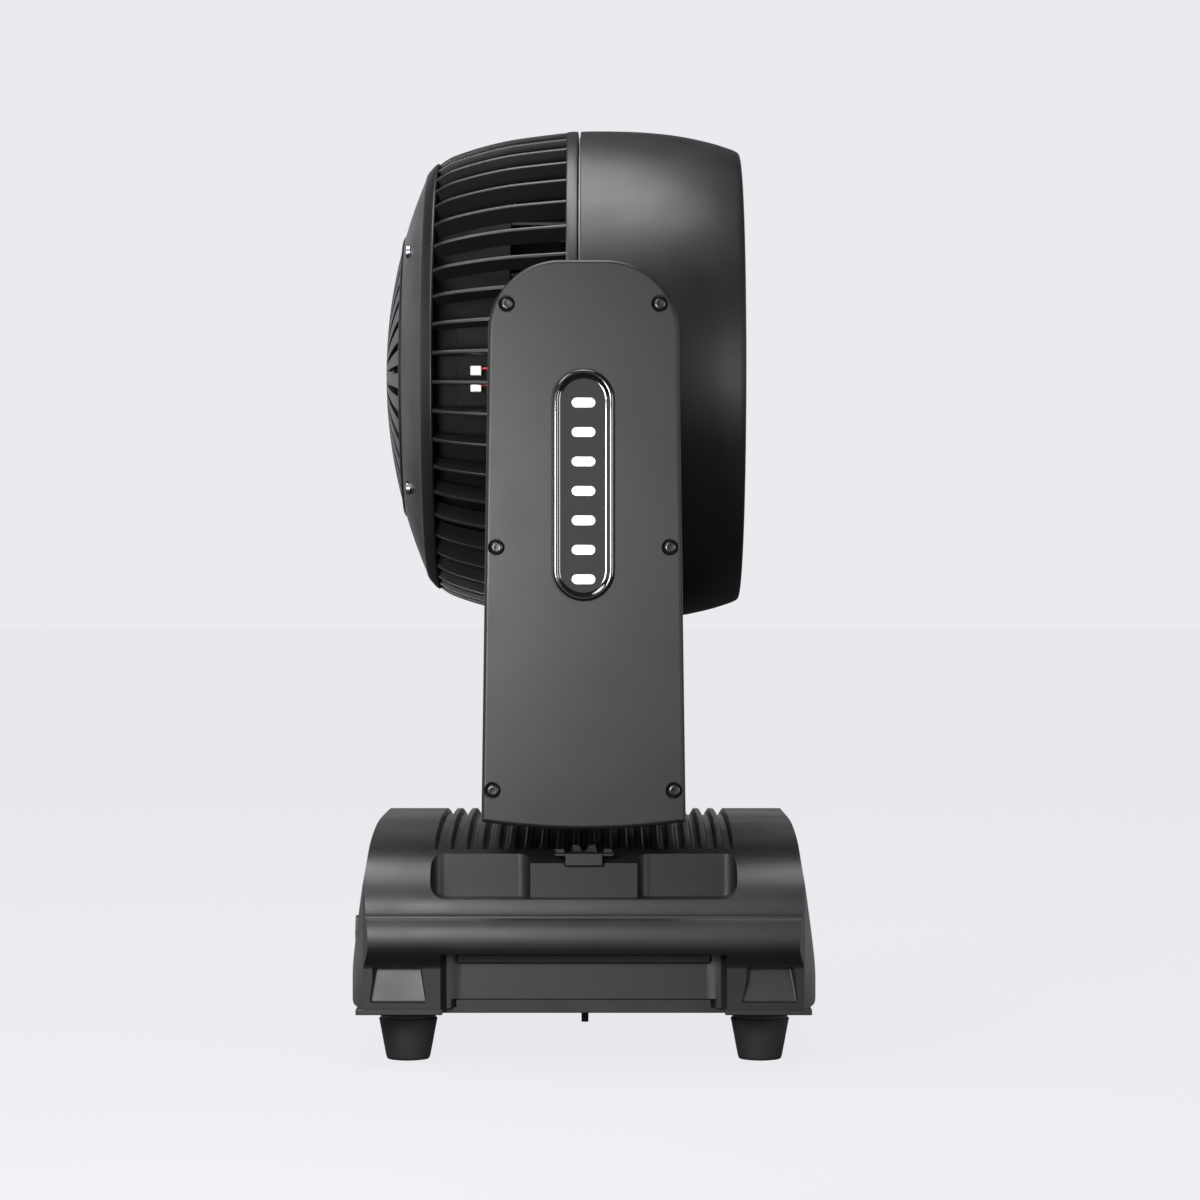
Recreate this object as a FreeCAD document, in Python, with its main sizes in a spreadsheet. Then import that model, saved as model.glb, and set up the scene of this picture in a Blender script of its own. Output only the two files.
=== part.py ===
"""Moving head wash light: a ribbed drum head in a two-armed yoke that pans on a low base.

Row frame, millimetres: +Z up, origin on the floor under the pan axis. At rest the head looks
along +X, the tilt axis runs along Y and the yoke arms stand at -Y and +Y.
Every piece is an object of one document, and its sizes come from the Sizes sheet.
"""

import FreeCAD, Part
import Sketcher
import math
import os

V = FreeCAD.Vector
doc = FreeCAD.newDocument("moving_head_light")

# ---------------------------------------------------------------- driving dimensions
DIMENSIONS = [
    ("foot_height", 28.0, "floor to the underside of the base"),
    ("foot_x", 95.0, "foot centres from the middle, along X"),
    ("foot_y", 128.0, "foot centres from the middle, along Y"),
    ("foot_top_rad", 16.0, "rubber foot at its collar"),
    ("foot_tip_rad", 12.0, "rubber foot at the floor"),
    ("base_top", 127.5, "crown of the base cover, over the pan axis"),
    ("shoulder", 116.0, "where the crown meets the rounded shoulders"),
    ("slide_level", 112.5, "underside of the pan lock's bar"),
    ("base_end", 125.0, "half length of the base at its widest, along X"),
    ("base_side", 170.0, "half width of the base over its corner pods, along Y"),
    ("waist_side", 158.0, "half width of the base between its pods"),
    ("rib_phase", 0.9, "turn of the rib pattern from the horizontal, degrees"),
    ("fin_rad", 114.0, "outline of the heat sink's fins"),
    ("duct_rad", 102.0, "outside of the fan duct"),
    ("panel_top", 88.5, "top edge of the two end panels"),
    ("window_top", 83.0, "top edge of the display window"),
    ("pod_inner", 75.0, "where a corner pod starts, along X"),
    ("tray_gauge", 3.0, "thickness of the steel tray"),
    ("grip_half", 81.5, "half length of a hand recess"),
    ("grip_low", 89.5, "bottom of a hand recess"),
    ("grip_high", 114.0, "top of a hand recess"),
    ("grip_box", 28.5, "half length of the lock housing in a hand recess"),
    ("groove_pitch", 8.6, "spacing of the grooves on the base"),
    ("groove_width", 4.6, "width of a groove"),
    ("groove_depth", 3.5, "depth of a groove"),
    ("panel_inside", 118.0, "inner plane of the end walls, where the panels sit"),
    ("panel_gauge", 3.0, "thickness of the end panels"),
    ("omega_x", 53.0, "half spacing of the quarter-turn holes, along X"),
    ("omega_y", 60.0, "half spacing of the quarter-turn holes, along Y"),
    ("omega_rad", 6.5, "radius of a quarter-turn hole"),
    ("eye_rad", 6.0, "radius of the hole for the safety cable"),
    ("post_rad", 20.0, "outside of the hollow pan post"),
    ("skirt_rad", 52.0, "outside of the turning skirt under the yoke"),
    ("run_gap", 0.05, "radial running clearance of shafts in bearings"),
    ("yoke_floor", 136.0, "underside of the yoke plate"),
    ("yoke_gauge", 4.0, "thickness of the yoke plate"),
    ("arm_inner", 150.0, "inner face of an arm"),
    ("arm_joint", 170.0, "where the two casings of an arm meet"),
    ("arm_outer", 196.0, "outer face of an arm"),
    ("arm_half_top", 50.0, "half width of an arm at its top"),
    ("arm_half_low", 53.5, "half width of an arm at its foot"),
    ("arm_low", 132.0, "foot of an arm at its corners"),
    ("arm_top", 426.0, "top of an arm"),
    ("arm_round", 38.0, "corner radius at the top of an arm"),
    ("casing_wall", 2.5, "wall of the moulded casings"),
    ("bridge_top", 206.0, "top of the cover between the arms"),
    ("tilt_height", 376.0, "height of the tilt axis"),
    ("shaft_rad", 12.0, "tilt shaft"),
    ("bearing_rad", 19.0, "outside of a tilt bearing"),
    ("head_rad", 140.0, "outside of the head at its widest"),
    ("shell_wall", 3.0, "wall of the head shells"),
    ("head_front", 88.0, "front rim of the head from the tilt axis"),
    ("cage_back", 89.0, "back of the ribbed cage from the tilt axis"),
    ("rib_count", 48.0, "ribs of the cage"),
    ("rib_gauge", 2.8, "thickness of a rib"),
    ("cap_rad", 113.0, "radius of the domed rear cap"),
    ("cap_sphere", 283.0, "radius of the sphere that the cap is cut from"),
    ("vent_count", 36.0, "radial vents of the cap"),
    ("cell_pitch", 45.0, "spacing of the nineteen optical cells"),
    ("lens_rest", 50.0, "back of the lens carrier with the zoom at its wide end"),
    ("zoom_rad", 108.0, "circle of the zoom screws and guides"),
    ("belt_pitch", 3.0, "tooth pitch of the belts"),
    ("wheel_teeth", 72.0, "teeth of each large pulley"),
    ("pinion_teeth", 12.0, "teeth of each motor pulley"),
    ("pan_motor_y", 92.0, "pan motor from the pan axis"),
    ("tilt_motor_z", 240.0, "height of the tilt motor's axis"),
    ("button_gap", 0.35, "gap round a button in its hole"),
]

sizes = doc.addObject("Spreadsheet::Sheet", "Sizes")
for row, (alias, number, note) in enumerate(DIMENSIONS, start=1):
    sizes.set(f"A{row}", alias)
    sizes.set(f"B{row}", str(number))
    sizes.setAlias(f"B{row}", alias)
    sizes.set(f"C{row}", note)
doc.recompute()
ALIASES = sorted((alias for alias, _, _ in DIMENSIONS), key=len, reverse=True)



# ---------------------------------------------------------------- small tools
def formula(text):
    """A formula in plain alias names, turned into one that names the sheet's cells."""
    parts, word = [], ""
    for char in f"{text} ":
        if char.isalnum() or char == "_":
            word += char
            continue
        parts.append(f"Sizes.{word}" if word in ALIASES else word)
        parts.append(char)
        word = ""
    return "".join(parts).strip()


def number(text):
    """The value of a formula now."""
    return float(sizes.evalExpression(formula(text)))


def bind(thing, **properties):
    """Binds properties to formulas; a double underscore in a name stands for a dot."""
    for name, text in properties.items():
        thing.setExpression(name.replace("__", "."), formula(text))
    return thing


def place(thing, x="0", y="0", z="0"):
    """Binds a thing's position."""
    return bind(thing, Placement__Base__x=x, Placement__Base__y=y, Placement__Base__z=z)


def box(x0, x1, y0, y1, z0, z1):
    """A block between two corners."""
    thing = doc.addObject("Part::Box", "block")
    bind(thing, Length=f"({x1}) - ({x0})", Width=f"({y1}) - ({y0})", Height=f"({z1}) - ({z0})")
    return place(thing, x0, y0, z0)


TURNS = {
    "X": FreeCAD.Rotation(V(0, 1, 0), 90),
    "Y": FreeCAD.Rotation(V(1, 0, 0), -90),
    "Z": FreeCAD.Rotation(),
}


def rod(axis, radius, start, end, a="0", b="0"):
    """A cylinder along an axis, from start to end; a and b are its other two coordinates, in order."""
    thing = doc.addObject("Part::Cylinder", "rod")
    thing.Placement = FreeCAD.Placement(V(), TURNS[axis])
    bind(thing, Radius=radius, Height=f"({end}) - ({start})")
    spots = {"X": (start, a, b), "Y": (a, start, b), "Z": (a, b, start)}
    return place(thing, *spots[axis])


def taper(axis, radius_0, radius_1, start, end, a="0", b="0"):
    """A cone along an axis, from start to end."""
    thing = doc.addObject("Part::Cone", "taper")
    thing.Placement = FreeCAD.Placement(V(), TURNS[axis])
    bind(thing, Radius1=radius_0, Radius2=radius_1, Height=f"({end}) - ({start})")
    spots = {"X": (start, a, b), "Y": (a, start, b), "Z": (a, b, start)}
    return place(thing, *spots[axis])


def joined(*things):
    """The union of several things."""
    if len(things) == 1:
        return things[0]
    thing = doc.addObject("Part::MultiFuse", "joined")
    thing.Shapes = list(things)
    return thing


def shared(*things):
    """What several things have in common."""
    thing = doc.addObject("Part::MultiCommon", "shared")
    thing.Shapes = list(things)
    return thing


def less(base, *tools):
    """The base without the tools."""
    thing = doc.addObject("Part::Cut", "less")
    thing.Base = base
    thing.Tool = joined(*tools)
    return thing


def group(*things):
    """Several separate solids kept as one piece."""
    thing = doc.addObject("Part::Compound", "group")
    thing.Links = list(things)
    return thing


def rounded(base, radius, chosen):
    """Rounds the edges of base that the function chosen picks."""
    doc.recompute()
    thing = doc.addObject("Part::Fillet", "rounded")
    thing.Base = base
    picked = [i for i, edge in enumerate(base.Shape.Edges, start=1) if chosen(edge)]
    thing.Edges = [(i, number(radius), number(radius)) for i in picked]
    return thing


pieces = []


def piece(label, thing):
    """Names a finished sub-part."""
    thing.Label = label
    pieces.append(thing)
    return thing


# ---------------------------------------------------------------- sketches
PLANES = {
    "XY": FreeCAD.Rotation(),
    "XZ": FreeCAD.Rotation(V(1, 0, 0), 90),
    "YZ": FreeCAD.Rotation(V(1, 1, 1), 120),
}


def draw(sketch, points):
    """Draws a closed outline whose corners are pinned by formulas.

    A point is (u, v), or (u, v, (mu, mv)) when an arc through (mu, mv) leads to the next point.
    """
    spots = [V(number(p[0]), number(p[1]), 0) for p in points]
    count = len(points)
    first = sketch.GeometryCount
    for i, point in enumerate(points):
        start, end = spots[i], spots[(i + 1) % count]
        if len(point) == 3:
            middle = V(number(point[2][0]), number(point[2][1]), 0)
            sketch.addGeometry(Part.Arc(start, middle, end), False)
        else:
            sketch.addGeometry(Part.LineSegment(start, end), False)

    def end_at(geometry, spot):
        here = sketch.getPoint(geometry, 1)
        return 1 if (here - spot).Length < 1e-6 else 2

    def pin(geometry, end, u, v):
        for kind, text in (("DistanceX", u), ("DistanceY", v)):
            index = sketch.addConstraint(
                Sketcher.Constraint(kind, -1, 1, geometry, end, number(text))
            )
            sketch.setExpression(f"Constraints[{index}]", formula(text))

    for i, point in enumerate(points):
        geometry = first + i
        after = first + (i + 1) % count
        pin(geometry, end_at(geometry, spots[i]), point[0], point[1])
        joint = spots[(i + 1) % count]
        sketch.addConstraint(
            Sketcher.Constraint(
                "Coincident", geometry, end_at(geometry, joint), after, end_at(after, joint)
            )
        )
        if len(point) == 3:
            middle = sketch.addGeometry(Part.Point(V(number(point[2][0]), number(point[2][1]), 0)), True)
            pin(middle, 1, *point[2])
            sketch.addConstraint(Sketcher.Constraint("PointOnObject", middle, 1, geometry))


def ring(sketch, radius, u="0", v="0"):
    """Draws a circle with a bound radius and centre."""
    index = sketch.addGeometry(Part.Circle(V(number(u), number(v), 0), V(0, 0, 1), number(radius)), False)
    for kind, text in (("DistanceX", u), ("DistanceY", v)):
        if number(text) == 0:
            axis = -2 if kind == "DistanceX" else -1
            sketch.addConstraint(Sketcher.Constraint("PointOnObject", index, 3, axis))
            continue
        bound = sketch.addConstraint(Sketcher.Constraint(kind, -1, 1, index, 3, number(text)))
        sketch.setExpression(f"Constraints[{bound}]", formula(text))
    bound = sketch.addConstraint(Sketcher.Constraint("Radius", index, number(radius)))
    sketch.setExpression(f"Constraints[{bound}]", formula(radius))


def prism(plane, points, start, end):
    """A closed outline on a plane, pushed along the third axis from start to end."""
    sketch = doc.addObject("Sketcher::SketchObject", "outline")
    sketch.Placement = FreeCAD.Placement(V(), PLANES[plane])
    if isinstance(points, list):
        draw(sketch, points)
    else:
        points(sketch)
    third = {"XY": "z", "XZ": "y", "YZ": "x"}[plane]
    level = end if plane == "XZ" else start
    sketch.setExpression(f"Placement.Base.{third}", formula(level))
    thing = doc.addObject("Part::Extrusion", "prism")
    thing.Base = sketch
    thing.DirMode = "Normal"
    thing.Solid = True
    return bind(thing, LengthFwd=f"({end}) - ({start})")


def new_body(label):
    """A PartDesign body, named as a finished sub-part."""
    return piece(label, doc.addObject("PartDesign::Body", label))


def sketch_on(body, plane, u="0", v="0", level="0"):
    """A sketch on one of the body's own planes, moved to (u, v) on it and lifted by level."""
    sketch = body.newObject("Sketcher::SketchObject", "sketch")
    role = f"{plane}_Plane"
    support = [f for f in body.Origin.OriginFeatures if f.Role == role][0]
    sketch.AttachmentSupport = [(support, "")]
    sketch.MapMode = "FlatFace"
    bind(sketch, AttachmentOffset__Base__x=u, AttachmentOffset__Base__y=v, AttachmentOffset__Base__z=level)
    return sketch


def turned(body, sketch, axis="H_Axis"):
    """A full revolution of a sketch about one of its axes."""
    feature = body.newObject("PartDesign::Revolution", "turned")
    feature.Profile = sketch
    feature.ReferenceAxis = (sketch, [axis])
    feature.Angle = 360.0
    doc.recompute()
    return feature


def pad(body, sketch, length):
    """A pad of a sketch along its plane's normal."""
    feature = body.newObject("PartDesign::Pad", "pad")
    feature.Profile = sketch
    bind(feature, Length=length)
    doc.recompute()
    return feature


def pocket(body, sketch, length, away=False):
    """A pocket of a given depth; away turns it to the side that the normal points to."""
    before = body.Shape.Volume
    feature = body.newObject("PartDesign::Pocket", "pocket")
    feature.Profile = sketch
    feature.Reversed = away
    bind(feature, Length=length)
    doc.recompute()
    if body.Shape.Volume > before - 1e-6:
        raise RuntimeError(f"a pocket in {body.Label} cuts nothing")
    return feature


def patterned(body, feature, sketch, count):
    """Repeats a feature round the normal axis of a sketch."""
    pattern = body.newObject("PartDesign::PolarPattern", "pattern")
    pattern.Originals = [feature]
    pattern.Axis = (sketch, ["N_Axis"])
    pattern.Angle = 360.0
    bind(pattern, Occurrences=count)
    body.Tip = pattern
    doc.recompute()
    return pattern


def turned_body(label, axis, points, height="0"):
    """A body of revolution about X (through the tilt axis height) or about Z."""
    body = new_body(label)
    if axis == "X":
        sketch = sketch_on(body, "XZ", v=height)
        draw(sketch, points)
        turned(body, sketch, "H_Axis")
    else:
        sketch = sketch_on(body, "XZ")
        draw(sketch, points)
        turned(body, sketch, "V_Axis")
    return body


# ---------------------------------------------------------------- base: feet, tray and cover
def feet():
    """Four tapered rubber feet, each with a collar, one at each corner."""
    corners = [("-foot_x", "-foot_y"), ("foot_x", "-foot_y"), ("foot_x", "foot_y"), ("-foot_x", "foot_y")]
    rubbers = [
        joined(
            taper("Z", "foot_tip_rad", "foot_top_rad", "0", "foot_height - 7", *corner),
            rod("Z", "foot_top_rad", "foot_height - 7.5", "foot_height - 4.5", *corner),
            rod("Z", "foot_top_rad - 1.2", "foot_height - 5", "foot_height", *corner),
        )
        for corner in corners
    ]
    return piece("feet", group(*rubbers))


def plan(end, side, waist, inner):
    """The base seen from above: a rectangle whose long sides step in between the corner pods."""
    quarter = [(end, side), (inner, side), (inner, waist)]
    points = []
    for along, across, order in ((1, -1, 1), (1, 1, -1), (-1, 1, 1), (-1, -1, -1)):
        for u, v in quarter[::-order]:
            points.append((f"{along} * ({u})", f"{across} * ({v})"))
    return points


def base_tray():
    """A folded steel tray: floor, two side lips, quarter-turn holes and the welded eye of the safety cable."""
    floor = prism(
        "XY",
        plan("base_end - 4", "base_side - 0.5", "waist_side", "pod_inner"),
        "foot_height",
        "foot_height + tray_gauge",
    )
    top = "foot_height + tray_gauge"
    lips = [
        box("-pod_inner + 7", "pod_inner - 7", low, high, f"{top} - 1", f"{top} + 4.4")
        for low, high in (("-waist_side", "2 - waist_side"), ("waist_side - 2", "waist_side"))
    ]
    holes = [
        rod("Z", "omega_rad", "foot_height - 1", f"{top} + 1", f"{along} * omega_x", f"{across} * omega_y")
        for along in (-1, 1)
        for across in (-1, 1)
    ]
    tab = prism(
        "YZ",
        [
            ("-14", "foot_height + 1"),
            ("-11", "foot_height - 12", ("0", "foot_height - 22")),
            ("11", "foot_height - 12"),
            ("14", "foot_height + 1"),
        ],
        "-2",
        "2",
    )
    eye = rod("X", "eye_rad", "-3", "3", "0", "foot_height - 11")
    return piece("base_tray", less(joined(floor, tab, *lips), eye, *holes))


def side_profile():
    """Half of the cover's section across the base: pod, roll, bulging flank, shoulder and crown."""
    return [
        ("base_side", "foot_height + tray_gauge"),
        ("base_side", "56"),
        ("base_side + 4.5", "60", ("base_side + 6.5", "66.5")),
        ("base_side + 1.5", "75", ("base_side + 2.6", "89")),
        ("base_side - 2", "102", ("base_side - 13", "111.2")),
        ("base_side - 30", "shoulder", ("0", "base_top")),
    ]


def cavity_profile():
    """The same section inside the cover's wall."""
    return [
        ("waist_side - 3", "foot_height + tray_gauge"),
        ("waist_side - 3", "61"),
        ("base_side - 1.5", "64"),
        ("base_side - 1.5", "76", ("base_side - 1", "88")),
        ("base_side - 6.5", "99"),
        ("base_side - 33", "shoulder - 5", ("0", "base_top - 6")),
    ]


def end_profile():
    """Half of the cover's outline along the base: the ends lean in to a tight corner at the top."""
    return [
        ("base_end - 3", "foot_height + tray_gauge"),
        ("base_end", "36"),
        ("base_end - 0.7", "50"),
        ("base_end - 5.5", "84"),
        ("base_end - 9.5", "110", ("base_end - 11.5", "base_top - 6")),
        ("base_end - 18", "base_top + 2"),
    ]


def end_cavity():
    """The same outline inside, with the flat plane that the end panels sit on."""
    return [
        ("panel_inside", "foot_height + tray_gauge"),
        ("panel_inside", "panel_top + 0.4"),
        ("panel_inside - 6", "108"),
        ("panel_inside - 16", "base_top + 2"),
    ]


def mirrored(half):
    """A half outline on +u, closed by its mirror image on -u."""
    back = []
    for i in range(len(half) - 1, -1, -1):
        point = (f"-({half[i][0]})", half[i][1])
        through = half[i - 1][2] if i and len(half[i - 1]) == 3 else None
        if through:
            point += ((f"-({through[0]})", through[1]),)
        back.append(point)
    return half + back


def grip_outline():
    """The mouth of a hand recess, well rounded at its corners."""
    return [
        ("-grip_half", "grip_high - 8"),
        ("-grip_half", "grip_low + 10.5", ("-grip_half + 3", "grip_low + 3")),
        ("-grip_half + 10.5", "grip_low"),
        ("grip_half - 10.5", "grip_low", ("grip_half - 3", "grip_low + 3")),
        ("grip_half", "grip_low + 10.5"),
        ("grip_half", "grip_high - 8", ("grip_half - 2.4", "grip_high - 2.4")),
        ("grip_half - 8", "grip_high"),
        ("-grip_half + 8", "grip_high", ("-grip_half + 2.4", "grip_high - 2.4")),
    ]


def groove_floor():
    """A section across the base above a curve that runs a groove's depth below the crown."""
    return [
        ("-143", "shoulder - groove_depth + 0.5", ("0", "base_top - groove_depth")),
        ("143", "shoulder - groove_depth + 0.5"),
        ("146", "base_top + 9"),
        ("-146", "base_top + 9"),
    ]


def waist_outline(side, inset):
    """The space between two corner pods, seen from above, with the pods' sides slanting in."""
    edge, wall = f"{side} * 190", f"{side} * (waist_side - {inset})"
    return [
        (f"-pod_inner - 1 + {inset} / 5", f"{side} * 170"),
        (f"-pod_inner + 7 + {inset} / 5", wall),
        (f"pod_inner - 7 - {inset} / 5", wall),
        (f"pod_inner + 1 - {inset} / 5", f"{side} * 170"),
        ("pod_inner + 1", edge),
        ("-pod_inner - 1", edge),
    ]


def soft_corners(half_x, half_y, radius):
    """A rectangle about the origin with rounded corners."""
    inset = f"0.2929 * {radius}"
    points = []
    for across, along in ((-1, 1), (1, -1)):
        points += [
            (f"-{along} * ({half_x} - {radius})", f"{across} * ({half_y})"),
            (
                f"{along} * ({half_x} - {radius})",
                f"{across} * ({half_y})",
                (f"{along} * ({half_x} - {inset})", f"{across} * ({half_y} - {inset})"),
            ),
            (f"{along} * ({half_x})", f"{across} * ({half_y} - {radius})"),
            (
                f"{along} * ({half_x})",
                f"-{across} * ({half_y} - {radius})",
                (f"{along} * ({half_x} - {inset})", f"-{across} * ({half_y} - {inset})"),
            ),
        ]
    return points


def span(side, near, far):
    """The two ends of a stretch along Y from near to far, in rising order, on one side."""
    return (f"-({far})", f"-({near})") if side < 0 else (near, far)


def base_cover():
    """One moulding: sculpted sides, grooved crown, hand recesses, pod pockets and two end openings."""
    outer = shared(
        prism("YZ", mirrored(side_profile()), "-base_end - 5", "base_end + 5"),
        prism("XZ", mirrored(end_profile()), "-base_side - 10", "base_side + 10"),
        prism("XY", soft_corners("base_end", "base_side + 6", "20"), "20", "base_top + 10"),
    )
    blocks = [
        box("-grip_half - 3.5", "grip_half + 3.5", *span(s, "145", "190"), "grip_low - 3.5", "base_top")
        for s in (-1, 1)
    ]
    cavity = less(
        shared(
            prism("YZ", mirrored(cavity_profile()), "-base_end", "base_end"),
            prism("XZ", mirrored(end_cavity()), "-base_side", "base_side"),
        ),
        *blocks,
    )
    cuts = [cavity, rod("Z", "skirt_rad + 2", "base_top - 20", "base_top + 5")]
    for side in (-1, 1):
        cuts.append(prism("XZ", grip_outline(), *span(side, "157.5", "190")))
        deep = prism("XZ", grip_outline(), *span(side, "149", "158"))
        housing = box("-grip_box", "grip_box", *span(side, "148", "159"), "grip_low - 1", "grip_high + 1")
        cuts.append(less(deep, housing))
        cuts.append(prism("XY", waist_outline(side, "0"), "20", "57"))
        cuts.append(prism("XY", waist_outline(side, "5"), "20", "foot_height + tray_gauge + 4.8"))
        for low, high in (("85.2", "115.4"), ("-115.4", "-85.2")):
            cuts.append(box(low, high, *span(side, "162", "190"), "34.6", "54"))
    slats = [
        box(
            f"({step} - 9) * groove_pitch - groove_width / 2",
            f"({step} - 9) * groove_pitch + groove_width / 2",
            "-150",
            "150",
            "shoulder - 8",
            "base_top + 5",
        )
        for step in range(19)
    ]
    cuts.append(shared(prism("YZ", groove_floor(), "-90", "90"), joined(*slats)))
    cuts.append(box("-base_end - 5", "base_end + 5", "-104", "104", "40", "panel_top - 3"))
    cuts.append(box("-10.5", "10.5", "-190", "-141", "slide_level - 6.5", "base_top + 5"))
    cuts.append(box("-16", "16", "-190", "-143", "slide_level - 1.5", "base_top + 5"))
    cuts.append(box("-6.5", "6.5", "-146", "-136", "slide_level - 6.5", "base_top - 9"))
    return piece("base_cover", less(outer, *cuts))


# ---------------------------------------------------------------- base: panels and controls
BUTTONS = {"menu": (34, 79), "up": (62, 79), "down": (34, 58), "enter": (62, 58)}


def end_panel(label, side, holes):
    """A flat panel behind an end opening; holes draws what is cut through it."""
    near, far = ("panel_inside - panel_gauge", "panel_inside")
    low, high = (near, far) if side > 0 else (f"-({far})", f"-({near})")
    plate = box(low, high, "-107", "107", "37", "panel_top")
    return piece(label, less(plate, *holes(f"({low}) - 1", f"({high}) + 1")))


def display_holes(low, high):
    """The window and the four button holes of the display panel."""
    cuts = [box(low, high, "-66", "4", "50", "window_top")]
    for across, height in BUTTONS.values():
        cuts.append(
            box(
                low,
                high,
                f"{across} - 8 - button_gap",
                f"{across} + 8 + button_gap",
                f"{height} - 5 - button_gap",
                f"{height} + 5 + button_gap",
            )
        )
    return cuts


SOCKETS = {
    "power_inlet": (80, 12.5),
    "dmx_in": (-10, 11.5),
    "dmx_out": (-46, 11.5),
    "fuse_holder": (-84, 7.0),
}
SOCKET_Z = 66


def connector_holes(low, high):
    """The round holes of the connector panel."""
    return [rod("X", f"{r} + 0.3", low, high, f"{y}", f"{SOCKET_Z}") for y, r in SOCKETS.values()]


def controls():
    """Display window, circuit board and the four push buttons behind the display panel."""
    piece("display_window", box("panel_inside - 2.6", "panel_inside - 0.6", "-65.8", "3.8", "50.2", "window_top - 0.2"))
    board = box("106", "107.6", "-74", "80", "44", "window_top + 4")
    screen = box("107.6", "114", "-62", "0", "53", "window_top - 3")
    switches = [box("107.6", "109.4", f"{y} - 3", f"{y} + 3", f"{z} - 3", f"{z} + 3") for y, z in BUTTONS.values()]
    piece("display_board", joined(board, screen, *switches))
    for name, (across, height) in BUTTONS.items():
        cap = box("111", "panel_inside + 1.5", f"{across} - 8", f"{across} + 8", f"{height} - 5", f"{height} + 5")
        piece(f"{name}_button", rounded(cap, "1.2", lambda edge: is_front_edge(edge, number("panel_inside") + 1.5)))


def is_front_edge(edge, front):
    """True for the edges of a button's front face."""
    return all(abs(vertex.Point.x - front) < 1e-6 for vertex in edge.Vertexes)


def socket(label, inside):
    """A round chassis connector: a flange on the panel, a barrel through it and what the barrel holds."""
    y, r = SOCKETS[label]
    flange = box("-panel_inside - 2", "-panel_inside", f"{y} - {r} - 1.5", f"{y} + {r} + 1.5", "50", "82")
    barrel = rod("X", f"{r}", "-panel_inside - 2.5", "-96", f"{y}", f"{SOCKET_Z}")
    return piece(label, inside(joined(flange, barrel), y, r))


def power_insert(body, y, r):
    """A locking power socket: a ring gap round a flush core with three blade slots."""
    gap = less(
        rod("X", f"{r} - 2", "-130", "-110", f"{y}", f"{SOCKET_Z}"),
        rod("X", f"{r} - 4.5", "-131", "-109", f"{y}", f"{SOCKET_Z}"),
    )
    slots = [
        box("-130", "-112", f"{y} + {dy} - 2.4", f"{y} + {dy} + 2.4", f"{SOCKET_Z + dz} - 0.8", f"{SOCKET_Z + dz} + 0.8")
        for dy, dz in ((-3.6, 2.5), (3.6, 2.5), (0, -3.5))
    ]
    return less(body, gap, *slots)


def pin_insert(body, y, r):
    """A signal inlet: an open cup with three pins standing at its bottom."""
    cup = rod("X", f"{r} - 2.5", "-130", "-107", f"{y}", f"{SOCKET_Z}")
    pins = [rod("X", "1.2", "-115", "-106", f"{y + dy}", f"{SOCKET_Z + dz}") for dy, dz in ((-4, 1), (4, 1), (0, -4))]
    return joined(less(body, cup), *pins)


def hole_insert(body, y, r):
    """A signal outlet: three pin holes and the slot of its release tab."""
    holes = [rod("X", "1.4", "-130", "-108", f"{y + dy}", f"{SOCKET_Z + dz}") for dy, dz in ((-4, 1), (4, 1), (0, -4))]
    slot = box("-130", "-113", f"{y} - 4.35", f"{y} + 4.35", f"{SOCKET_Z} + 6.15", f"{SOCKET_Z} + 9.85")
    return less(body, *holes, slot)


def fuse_insert(body, y, r):
    """A fuse holder: a round cap with a driver slot."""
    cap = taper("X", "8", "9", "-panel_inside - 8", "-panel_inside - 2", f"{y}", f"{SOCKET_Z}")
    slot = box("-panel_inside - 9", "-panel_inside - 6.5", f"{y} - 6", f"{y} + 6", f"{SOCKET_Z} - 0.8", f"{SOCKET_Z} + 0.8")
    return less(joined(body, cap), slot)


def sockets():
    """Everything on the connector panel."""
    socket("power_inlet", power_insert)
    socket("dmx_in", pin_insert)
    socket("dmx_out", hole_insert)
    socket("fuse_holder", fuse_insert)
    y = SOCKETS["dmx_out"][0]
    tab = box("-panel_inside - 5.5", "-114.5", f"{y} - 4", f"{y} + 4", f"{SOCKET_Z} + 6.5", f"{SOCKET_Z} + 9.5")
    piece("dmx_release_tab", tab)


# ---------------------------------------------------------------- base: inside
def base_inside():
    """Power supply, control board, pan carrier, pan post and the base screws."""
    supply = box("-86", "86", "38", "138", "50", "88")
    legs = [rod("Z", "4", "foot_height + tray_gauge", "50", x, y) for x in ("-78", "78") for y in ("46", "130")]
    piece("power_supply", joined(supply, *legs))
    board = box("-86", "86", "-138", "-38", "50", "51.6")
    stands = [rod("Z", "4", "foot_height + tray_gauge", "50", x, y) for x in ("-78", "78") for y in ("-130", "-46")]
    chips = [
        box("-70", "-40", "-120", "-90", "51.6", "64"),
        box("-20", "20", "-110", "-70", "51.6", "58"),
        box("40", "72", "-125", "-60", "51.6", "68"),
    ]
    piece("control_board", joined(board, *stands, *chips))
    plate = box("-80", "80", "-30", "30", "96", "102")
    columns = [rod("Z", "6", "foot_height + tray_gauge", "96.5", x, y) for x in ("-70", "70") for y in ("-20", "20")]
    passage = rod("Z", "post_rad - 6", "90", "110")
    piece("pan_carrier", less(joined(plate, *columns), passage))
    outline = [
        ("post_rad - 6", "102"),
        ("28", "102"),
        ("28", "106"),
        ("post_rad", "106"),
        ("post_rad", "168"),
        ("post_rad - 6", "168"),
    ]
    turned_body("pan_post", "Z", outline)


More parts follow.
